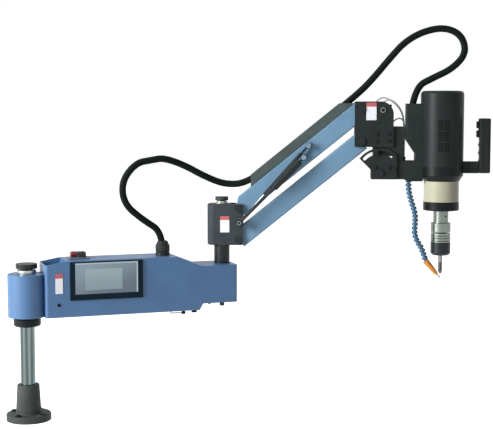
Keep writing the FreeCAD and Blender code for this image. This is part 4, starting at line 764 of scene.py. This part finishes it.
ELBOW_SPLIT = (505, -3, 612)
CONDUITS = (
    Route("box_conduit", (
        (361, 0, 423), (361, 0, 477), (306, -2, 512), (256, -5, 555), (250, -7, 614), (288, -8, 662),
        (332, -7.4, 669), (364, -7, 674.1), (421, -4, 654), (476, -1, 624), ELBOW_SPLIT),
        "control_arm", "elbow", bend_from=(342, -3, 518), stands_for=("box_conduit", "tray_conduit")),
    Route("tray_conduit", (
        ELBOW_SPLIT, (534, -5, 600), (589, -26, 604), (627.8, -40.9, 635.2)), "elbow", "upper_arm"),
    Route("link_conduit", (
        (294.6, 0, 786.2), (357.5, 0, 837.2), (400, 0, 879), (452, 0, 942), (487, 0, 980), (535, 0, 1007),
        (562.5, -1, 1012)), "upper_arm", "head", ARM, stands_for=("link_conduit",)),
    Route("motor_conduit", (
        (562.8, -1, 1012.1), (590, -2, 1017), (634, -6, 997), (647, -8, 949), (612, -6, 909), (560, -2, 884),
        (518, 0, 862), (509, 0, 815.8)), "head", "tilting_head", ARM, stands_for=("motor_conduit",)),
)
AIR_TUBES = (
    Route("air_1", (
        (408, 6, 815.9), (422, 6, 836.5), (454, 6, 826.5), (482, 6, 796), (486.8, 6, 757), (487.2, 6, 712),
        (486.8, 6, 666.6)), "head", "tilting_head", ARM, 0.004, stands_for=("air_tubes",)),
    Route("air_2", (
        (426, -6, 816.2), (442, -6, 831.5), (468, -6, 817), (484.5, -6, 786), (487, -6, 749),
        (487.2, -6, 708), (486.8, -6, 666.6)), "head", "tilting_head", ARM, 0.004),
    Route("air_3", (
        (454.2, 0, 765), (467, 0, 780), (485.5, 0, 775), (488, 0, 748), (486.8, 0, 709),
        (486.8, 0, 666.6)), "head", "tilting_head", ARM, 0.004),
)


class Blocks(Nodes):
    """A geometry node tree with named inputs."""

    def __init__(self, name: str, inputs: dict[str, str]) -> None:
        """Makes the tree with its group inputs.

        Args:
            name: The tree's name.
            inputs: Name and socket type of each input besides the geometry.
        """
        self.group = bpy.data.node_groups.new(name, "GeometryNodeTree")
        super().__init__(self.group)
        face = self.group.interface
        for title, kind in {"Geometry": "NodeSocketGeometry", **inputs}.items():
            face.new_socket(title, in_out="INPUT", socket_type=kind)
        face.new_socket("Geometry", in_out="OUTPUT", socket_type="NodeSocketGeometry")
        self.entry = self.nodes.new("NodeGroupInput")
        self.exit = self.nodes.new("NodeGroupOutput")

    def given(self, name: str) -> Value:
        """One of the tree's own inputs."""
        return Value(self, self.entry.outputs[name])

    def close(self, geometry: Value) -> None:
        """Realizes the instances, sets the material and ends the tree.

        Args:
            geometry: What the tree has made.
        """
        real = self.add("GeometryNodeRealizeInstances", None, {"Geometry": geometry})
        dressed = self.add("GeometryNodeSetMaterial", None, {
            "Geometry": real, "Material": self.given("Material")})
        self.feed(self.exit.inputs["Geometry"], dressed)

    def run(self, name: str, data: Any, values: dict[str, Any]) -> bpy.types.Object:
        """Runs the tree on a piece and keeps the result as a plain mesh.

        Args:
            name: The new piece's name.
            data: The mesh or curve that it starts from.
            values: The inputs by name.

        Returns:
            The finished piece.
        """
        holder = link_object(f"{name}_source", data)
        modifier = holder.modifiers.new(name, "NODES")
        modifier.node_group = self.group
        for item in self.group.interface.items_tree:
            if item.in_out == "INPUT" and item.name in values:
                modifier[item.identifier] = values[item.name]
        graph = bpy.context.evaluated_depsgraph_get()
        graph.update()
        mesh = bpy.data.meshes.new_from_object(holder.evaluated_get(graph))
        bpy.data.objects.remove(holder)
        return link_object(name, mesh)


class RibbedTube(Blocks):
    """Corrugated tube along a line: a round section whose radius swells at every rib."""

    def __init__(self) -> None:
        """Builds the tree; a rib takes four steps of the line."""
        super().__init__("ribbed_tube", {
            "Radius": "NodeSocketFloat", "Step": "NodeSocketFloat", "Swell": "NodeSocketFloat",
            "Sides": "NodeSocketInt", "Material": "NodeSocketMaterial"})
        line = self.add("GeometryNodeResampleCurve", {"mode": "LENGTH"}, {
            "Curve": self.given("Geometry"), "Length": self.given("Step")})
        phase = self.add("GeometryNodeInputIndex") * (math.tau / 4)
        swollen = phase.math("SINE") * self.given("Swell") + 1.0
        section = self.add("GeometryNodeCurvePrimitiveCircle", None, {
            "Resolution": self.given("Sides"), "Radius": self.given("Radius")})
        tube = self.add("GeometryNodeCurveToMesh", None, {
            "Curve": line, "Profile Curve": section, "Scale": swollen, "Fill Caps": True})
        smooth = self.add("GeometryNodeSetShadeSmooth", None, {"Geometry": tube})
        self.close(smooth)


class Lines:
    """The conduits and the thin tubes, each along its route."""

    def __init__(self, wardrobe: Wardrobe) -> None:
        """Keeps the wardrobe and the tube's tree."""
        self.wardrobe = wardrobe
        self.tube = RibbedTube()

    def build(self) -> None:
        """Makes every line."""
        for route in CONDUITS:
            self.make(route, Finish.CONDUIT, step=0.00085, swell=0.030, sides=28)
        for route in AIR_TUBES:
            self.make(route, Finish.CLEAR, step=0.0015, swell=0.0, sides=14)

    def make(self, route: Route, finish: Finish, step: float, swell: float,
             sides: int) -> bpy.types.Object:
        """Makes one line.

        Args:
            route: Its route.
            finish: Its finish.
            step: Distance between sections, a quarter of a rib.
            swell: How far a rib stands proud, as a share of the radius.
            sides: Corners of the section.

        Returns:
            The finished tube.
        """
        curve, path = route.line()
        tube = self.tube.run(f"{route.name}_tube", curve.data.copy(), {
            "Radius": route.diameter / 2 / (1 + swell), "Step": step, "Swell": swell, "Sides": sides,
            "Material": self.wardrobe.material(finish)})
        bpy.data.objects.remove(curve)
        bend_from = path[0]
        if route.bend_from:
            bend_from = route.place.at_mm(route.bend_from)
        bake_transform(tube)
        if route.stands_for:
            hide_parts(*route.stands_for)
        return tube


# ---- small turned parts
@dataclass(frozen=True)
class Turned:
    """A small round part about Z, drawn from radius and height in millimetres.

    Of its rings, the hexed ones have six sides and the fluted ones a notch at every other pair of corners.
    """

    profile: tuple[tuple[float, float], ...]
    sides: int = 24
    hexed: frozenset[int] = frozenset()
    fluted: frozenset[int] = frozenset()
    flute: float = 0.9
    looped: bool = False

    def reach(self, number: int, step: int) -> float:
        """Radius of one corner of a ring.

        Args:
            number: The ring.
            step: The corner.

        Returns:
            Its radius in metres.
        """
        radius = self.profile[number][0]
        if number in self.hexed:
            angle = math.tau * step / self.sides
            radius /= math.cos(angle % (math.tau / 6) - math.tau / 12)
        if number in self.fluted and step % 4 > 1:
            radius -= self.flute
        return radius * MM

    def piece(self, name: str) -> bpy.types.Object:
        """The part as a piece of its own."""
        rings = [level_ring([self.reach(number, step) for step in range(self.sides)], height * MM)
                 for number, (_, height) in enumerate(self.profile)]
        return ring_piece(name, rings, self.looped)


class Spread(Blocks):
    """Copies of one small part on points, each turned to face its point's way."""

    def __init__(self) -> None:
        """Builds the tree."""
        super().__init__("spread", {"Part": "NodeSocketObject", "Material": "NodeSocketMaterial"})
        part = self.add("GeometryNodeObjectInfo", None, {"Object": self.given("Part")})
        facing = self.add("GeometryNodeInputNamedAttribute", {"data_type": "FLOAT_VECTOR"},
                          {"Name": "facing"})
        turn = self.add("FunctionNodeAlignRotationToVector", {"axis": "Z"},
                        {"Vector": facing.of("Attribute")})
        copies = self.add("GeometryNodeInstanceOnPoints", None, {
            "Points": self.given("Geometry"), "Instance": part.of("Geometry"), "Rotation": turn})
        self.close(copies)


UP: Point = (0, 0, 1)
DOWN: Point = (0, 0, -1)
ALONG: Point = (1, 0, 0)
FRONT: Point = (0, -1, 0)


@dataclass(frozen=True)
class Fasteners:
    """A set of equal small parts on one body; points in millimetres of its place."""

    name: str
    body: str
    part: Turned
    points: tuple[Point, ...]
    facing: Point = FRONT
    place: Place = WORLD
    finish: Finish = Finish.BURNISHED

    def build(self, wardrobe: Wardrobe, spread: Spread) -> bpy.types.Object:
        """Makes the set.

        Args:
            wardrobe: Gives its finish.
            spread: The tree that lays out the copies.

        Returns:
            The finished piece.
        """
        template = self.part.piece(f"{self.name}_part")
        mesh = bpy.data.meshes.new(self.name)
        mesh.from_pydata([self.place.at_mm(point) for point in self.points], [], [])
        ways = mesh.attributes.new("facing", "FLOAT_VECTOR", "POINT")
        way = Matrix.Rotation(math.radians(self.place.turn), 3, "Z") @ Vector(self.facing)
        for item in ways.data:
            item.vector = way
        piece = spread.run(self.name, mesh, {"Part": template, "Material": wardrobe.material(self.finish)})
        bpy.data.objects.remove(template)
        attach(piece, self.body)
        LOG.info("%s: %d on %s", self.name, len(self.points), self.body)
        return piece


SOCKET_HEAD = Turned(((5.2, -9.5), (5.2, -0.2), (7.6, 0), (7.6, 9.4), (6.9, 10.2), (4.0, 10.2), (4.0, 5)),
                     hexed=frozenset({5, 6}))
RIM = Turned(((4.3, 0), (5.6, 0), (5.4, 0.5), (4.5, 0.5)), looped=True)
HEAD_RIM = Turned(((5.7, 0), (6.9, 0), (6.7, 0.5), (5.8, 0.6)), looped=True)
LOCK_RIM = Turned(((6.0, 0), (7.3, 0), (7.1, 0.6), (6.1, 0.6)), looped=True)
LOCK = Turned(((4.6, 0), (4.6, 0.8), (4.0, 1.4), (2.7, 1.4), (2.5, 0.5)))
LOCK_CORE = Turned(((2.3, 0.3), (2.3, 1.1), (0.6, 1.2), (0.5, 0.8)))
STUD = Turned(((2.4, 0), (2.4, 8.6), (1.8, 9.4)))
ROD = Turned(((1.2, 0), (1.9, 0.6), (1.9, 33)))
BALL_KNOB = Turned(((2.6, 0), (4.2, 1.4), (4.2, 9), (3, 10.5)))
SCREW_HEAD = Turned(((3.6, 0), (3.6, 2.4), (2.8, 3.2), (1.6, 3.2), (1.6, 1.4)), hexed=frozenset({3, 4}))
GRIP_RING = Turned(((17.2, 1), (18.9, 2.4), (18.9, 17), (17.6, 19.6)), 64, fluted=frozenset({1, 2}))
DOME = Turned(((15.6, 0), (15.6, 4), (13.4, 7.6), (10.4, 9.4)), 48, fluted=frozenset({0, 1}))
HOLE = Turned(((2.6, 0), (2.6, 0.5), (1.9, 0.9)))
FITTING = Turned(((3.4, 0), (3.4, 4), (4.4, 4.6), (4.4, 9), (3.2, 10)), hexed=frozenset({2, 3}))
LOCK_SPOT = (74, -50, 302.5)
FLANGE_TOP = Place(0, 0, 0.010, 46)
BOLT_CROSS = ((46, 0, 0), (0, 46, 0), (-46, 0, 0), (0, -46, 0))
SMALL_PARTS = (
    Fasteners("flange_bolts", "base", SOCKET_HEAD, BOLT_CROSS, UP, FLANGE_TOP),
    Fasteners("box_lock", "control_arm", LOCK, (LOCK_SPOT,)),
    Fasteners("box_lock_core", "control_arm", LOCK_CORE, (LOCK_SPOT,)),
    Fasteners("bail_stud", "control_arm", STUD, ((374, -30, 270),), DOWN, finish=Finish.ZINC),
    Fasteners("bail_rod", "control_arm", ROD, ((372, -30, 262.4),), ALONG, finish=Finish.ZINC),
    Fasteners("bail_knob", "control_arm", BALL_KNOB, ((404, -30, 262.4),), ALONG),
    Fasteners("step_screw", "control_arm", SCREW_HEAD, ((478, -43, 287),), DOWN),
    Fasteners("gland_grip", "control_arm", GRIP_RING, ((361, 0, 424.4),), UP, finish=Finish.NUT),
    Fasteners("gland_dome", "control_arm", DOME, ((361, 0, 445),), UP, finish=Finish.NUT),
    Fasteners("head_rim", "head", HEAD_RIM, ((429, -31, 800),), FRONT, ARM, Finish.ZINC),
    Fasteners("lock_rim", "head", LOCK_RIM, ((410.4, -35.2, 687.4),), FRONT, ARM, Finish.ZINC),
    Fasteners("stud_rims", "upper_arm", RIM, ((221.1, -59.3, 675.8), (233.2, -43.4, 706.3)), FRONT, ARM,
              Finish.ZINC),
    Fasteners("eye_rim", "elbow", RIM, ((50, -59.3, 501),), FRONT, ARM, Finish.ZINC),
    Fasteners("shank_hole", "spindle", HOLE, ((MOTOR_ALONG / MM + 11, -16.7, 518),), FRONT, ARM),
    Fasteners("tube_fitting", "tilting_head", FITTING, ((486.8, 6, 666.1), (486.8, -6, 666.1)), UP, ARM),
)


@dataclass
class Tap:
    """Straight-flute hand tap with a cut thread, a lead and a plain shank, in millimetres."""

    wardrobe: Wardrobe
    radius: float = 6.0
    shank: float = 5.5
    pitch: float = 1.75
    depth: float = 0.95
    thread: float = 30.0
    runout: float = 0.3
    lead: float = 8.0
    point: float = 3.5
    flutes: int = 4
    flute: float = 2.3
    flute_sharpness: float = 1.5
    flute_fade: float = 3.0
    sides: int = 56
    step: float = 0.25

    def surface(self, height: float, angle: float) -> float:
        """Radius at a height above the point.

        Args:
            height: Height above the tap's point.
            angle: Angle about its axis.

        Returns:
            The radius.
        """
        if height > self.thread:
            return self.shank
        turn = (height / self.pitch - angle / math.tau) % 1
        crest = self.radius - self.depth * abs(2 * turn - 1)
        if height < self.lead:
            crest = min(crest, self.point + (self.radius - self.point) * height / self.lead)
        lobe = max(0.0, math.cos(self.flutes * angle)) ** self.flute_sharpness
        fade = min(1.0, (self.thread - height) / self.flute_fade)
        return crest - self.flute * lobe * fade

    def build(self) -> bpy.types.Object:
        """Makes the tap in place of the plain one."""
        low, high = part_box("tap")
        turns = [math.tau * i / self.sides for i in range(self.sides)]
        heights = [self.step * i for i in range(int(self.thread / self.step) + 1)]
        heights += [self.thread + self.runout, (high.z - low.z) / MM]
        rings = [level_ring([self.surface(height, turn) * MM for turn in turns], low.z + height * MM,
                            MOTOR.x, MOTOR.y) for height in heights]
        piece = self.wardrobe.dress_piece(Finish.STEEL, ring_piece("threaded_tap", rings))
        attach(piece, "spindle")
        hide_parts("tap")
        return piece


# ---- plates and marks
@dataclass(frozen=True)
class Plate:
    """A thin printed plate on an upright face that looks along -Y of its place."""

    name: str
    body: str
    place: Place
    left: float
    right: float
    low: float
    high: float
    face: float
    thickness: float = 0.0006
    corner: float = 0.0012
    corner_steps: int = 4

    def build(self, wardrobe: Wardrobe) -> bpy.types.Object:
        """Makes the plate and its print.

        Args:
            wardrobe: Gives its finish.

        Returns:
            The plate.
        """
        outline = self.outline()
        rings = [[(x, y, z) for x, z in outline] for y in (self.face, self.face - self.thickness)]
        piece = ring_piece(self.name, rings, place=self.place)
        base = self.place.z
        wardrobe.dress_piece(Banded(f"{self.name}_print", base + self.low, base + self.high), piece)
        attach(piece, self.body)
        return piece

    def outline(self) -> list[tuple[float, float]]:
        """The plate's edge with its round corners, as X and Z."""
        left, right = self.left + self.corner, self.right - self.corner
        low, high = self.low + self.corner, self.high - self.corner
        points = []
        for x, z, start in ((right, high, 0), (left, high, 90), (left, low, 180), (right, low, 270)):
            for step in range(self.corner_steps + 1):
                angle = math.radians(start + 90 * step / self.corner_steps)
                points.append((x + self.corner * math.cos(angle), z + self.corner * math.sin(angle)))
        return points


PLATES = (
    Plate("box_plate", "control_arm", WORLD, 0.0655, 0.0845, 0.332, 0.384, -0.0503),
    Plate("elbow_plate", "elbow", ARM, -0.0020, 0.0225, 0.4735, 0.5170, -0.0303),
    Plate("head_plate_mark", "head", HEAD, 0.0120, 0.0386, -0.0293, 0.0173, -0.0313),
)


# ---- the machine's groups
@dataclass
class Group:
    """A sub-assembly whose nodes get their finishes from a table."""

    wardrobe: Wardrobe
    finishes: ClassVar[dict[Finish, tuple[str, ...]]]

    def dress(self) -> None:
        """Gives the nodes their finishes."""
        for finish, nodes in self.finishes.items():
            self.wardrobe.dress(finish, *nodes)


class Base(Group):
    """Flange, column and the pieces on it."""

    finishes = {
        Finish.CASTING: ("base_flange",),
        Finish.CHROME: ("column",),
        Finish.RING: ("column_thrust_ring",),
        Finish.BURNISHED: ("column_collar",),
        Finish.NUT: ("column_knob",),
    }


class ControlArm(Group):
    """Hub, control box and what stands on it."""

    finishes = {
        Finish.BLUE: ("swivel_hub", "control_box", "box_base_cover"),
        Finish.BRONZE: ("hub_bushes",),
        Finish.BLACK_OXIDE: ("control_box_screws", "elbow_shaft"),
        Finish.RUBBER: ("rubber_feet",),
        Finish.BEZEL: ("screen_bezel",),
        Finish.NUT: ("conduit_gland",),
        Finish.SWITCH: ("stop_switch_body",),
        Finish.RED: ("stop_button",),
    }

    def dress(self) -> None:
        """Gives the nodes their finishes, and the glass its lit panel."""
        super().dress()
        low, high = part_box("screen_glass")
        self.wardrobe.dress(Display("lit_panel", Window(low.x, high.x, low.z, high.z)), "screen_glass")


class Arm(Group):
    """Elbow, links, tray and gas springs."""

    finishes = {
        Finish.BLOCK_GREY: ("elbow_block",),
        Finish.BRONZE: ("elbow_bushes",),
        Finish.RING: ("elbow_clamp_ring",),
        Finish.KNOB: ("elbow_knob",),
        Finish.LINK_BLUE: ("upper_link", "lower_link", "spring_bracket"),
        Finish.TRAY: ("cable_tray",),
        Finish.GAS: ("rear_spring_cylinder", "front_spring_cylinder"),
        Finish.BLACK_OXIDE: ("elbow_pins", "front_spring_rod"),
        Finish.ZINC: ("rear_spring_rod",),
    }


class Head(Group):
    """Levelled head, tilting bracket, motor, grip, spindle and coolant line."""

    finishes = {
        Finish.GREY: ("head_plates", "head_spacer", "tilt_hanger", "tilt_fan_plate", "motor_bracket",
                      "conduit_cover", "handle_bar", "handle_grip"),
        Finish.BLACK_OXIDE: ("head_pins", "head_screws", "bracket_screws", "tap_adapter"),
        Finish.BURNISHED: ("clutch_ring",),
        Finish.FLANGE: ("gearbox_flange",),
        Finish.CREAM: ("gearbox",),
        Finish.STEEL: ("spindle_shank",),
        Finish.MOTOR_COAT: ("motor_housing",),
        Finish.CHUCK_STEEL: ("tap_chuck", "chuck_sleeve"),
        Finish.BLACK: ("start_button", "reverse_button"),
        Finish.HOSE: ("coolant_hose",),
        Finish.NOZZLE: ("coolant_nozzle",),
    }


# ---- studio
@dataclass
class Lamp:
    """A soft square lamp that looks at a point."""

    name: str
    place: Point
    aim: Point
    size: float
    power: float

    def build(self) -> None:
        """Makes the lamp."""
        data = bpy.data.lights.new(self.name, "AREA")
        data.shape = "SQUARE"
        data.size = self.size
        data.energy = self.power
        lamp = link_object(self.name, data)
        lamp.location = self.place
        look_along(lamp, Vector(self.aim) - Vector(self.place))


def look_along(piece: bpy.types.Object, way: Vector) -> None:
    """Turns a lamp or a camera to look along a way, upright."""
    piece.rotation_euler = way.to_track_quat("-Z", "Y").to_euler()


@dataclass
class Studio:
    """Pale floor, white surroundings, soft lamps and the camera."""

    lens: float = 87.63
    sensor: float = 36.0
    reach: float = 60.0
    eye: Point = (-0.440, -3.081, 0.808)
    heading: float = 18.6
    dip: float = 5.12
    world_light: float = 0.19
    floor_corners: tuple[tuple[float, float], ...] = ((-6, -5), (7, -5), (7, 9), (-6, 9))
    floor_level: float = -0.0005
    floor_shade: float = 0.86
    floor_seen: float = 0.9
    lamps: tuple[Lamp, ...] = field(default_factory=lambda: (
        Lamp("key", (-3.5, -0.95, 1.7), (0.45, 0, 0.55), 2.0, 305.0),
        Lamp("fill", (2.6, -3.2, 1.6), (0.6, 0, 0.6), 2.6, 3.0),
        Lamp("top", (0.2, 0.2, 3.4), (0.5, 0, 0.5), 2.6, 18.0),
    ))

    def build(self) -> None:
        """Makes everything round the machine."""
        self.make_world()
        self.make_floor()
        for lamp in self.lamps:
            lamp.build()
        self.make_camera()
        bpy.context.scene.view_settings.view_transform = "Standard"

    def make_world(self) -> None:
        """White where it is looked at, softer where it lights."""
        world = bpy.data.worlds.new("studio")
        bpy.context.scene.world = world
        tree = Tree(world, "Background")
        level = tree.add("ShaderNodeMapRange", None, {
            "Value": tree.looked_at(), "To Min": self.world_light, "To Max": 1.0})
        tree.set(Color=(1, 1, 1), Strength=level.of("Result"))

    def make_floor(self) -> None:
        """A wide pale floor under the flange, which looks white and keeps its shadows."""
        mesh = bpy.data.meshes.new("floor")
        mesh.from_pydata([(x, y, self.floor_level) for x, y in self.floor_corners], [], [(0, 1, 2, 3)])
        floor = link_object("floor", mesh)
        paint = bpy.data.materials.new("floor_paint")
        tree = Tree(paint, "Principled BSDF")
        tree.set(Base_Color=(self.floor_shade,) * 3, Roughness=0.9, Specular_IOR_Level=0.1)
        white = tree.add("ShaderNodeEmission", None, {
            "Color": (self.floor_seen,) * 3, "Strength": tree.looked_at()})
        both = tree.add("ShaderNodeAddShader", None, {
            0: Value(tree, tree.shader.outputs[0]), 1: white})
        tree.feed(tree.nodes["Material Output"].inputs["Surface"], both)
        floor.data.materials.append(paint)

    def make_camera(self) -> None:
        """Makes the camera and gives it to the scene."""
        data = bpy.data.cameras.new("camera")
        data.sensor_width = self.sensor
        data.lens = self.lens
        data.clip_end = self.reach
        camera = link_object("camera", data)
        camera.location = self.eye
        heading, dip = math.radians(self.heading), math.radians(self.dip)
        look_along(camera, Vector((
            math.sin(heading) * math.cos(dip), math.cos(heading) * math.cos(dip), -math.sin(dip))))
        bpy.context.scene.camera = camera



# ---- the whole
def main() -> None:
    """Builds the groups in order."""
    logging.basicConfig(level=logging.INFO, format="%(message)s")
    wardrobe = Wardrobe()
    Studio().build()
    Lines(wardrobe).build()
    for group in (Base(wardrobe), ControlArm(wardrobe), Arm(wardrobe), Head(wardrobe)):
        group.dress()
    Tap(wardrobe).build()
    spread = Spread()
    for part in SMALL_PARTS:
        part.build(wardrobe, spread)
    for plate in PLATES:
        plate.build(wardrobe)


if __name__ == "__main__":
    main()
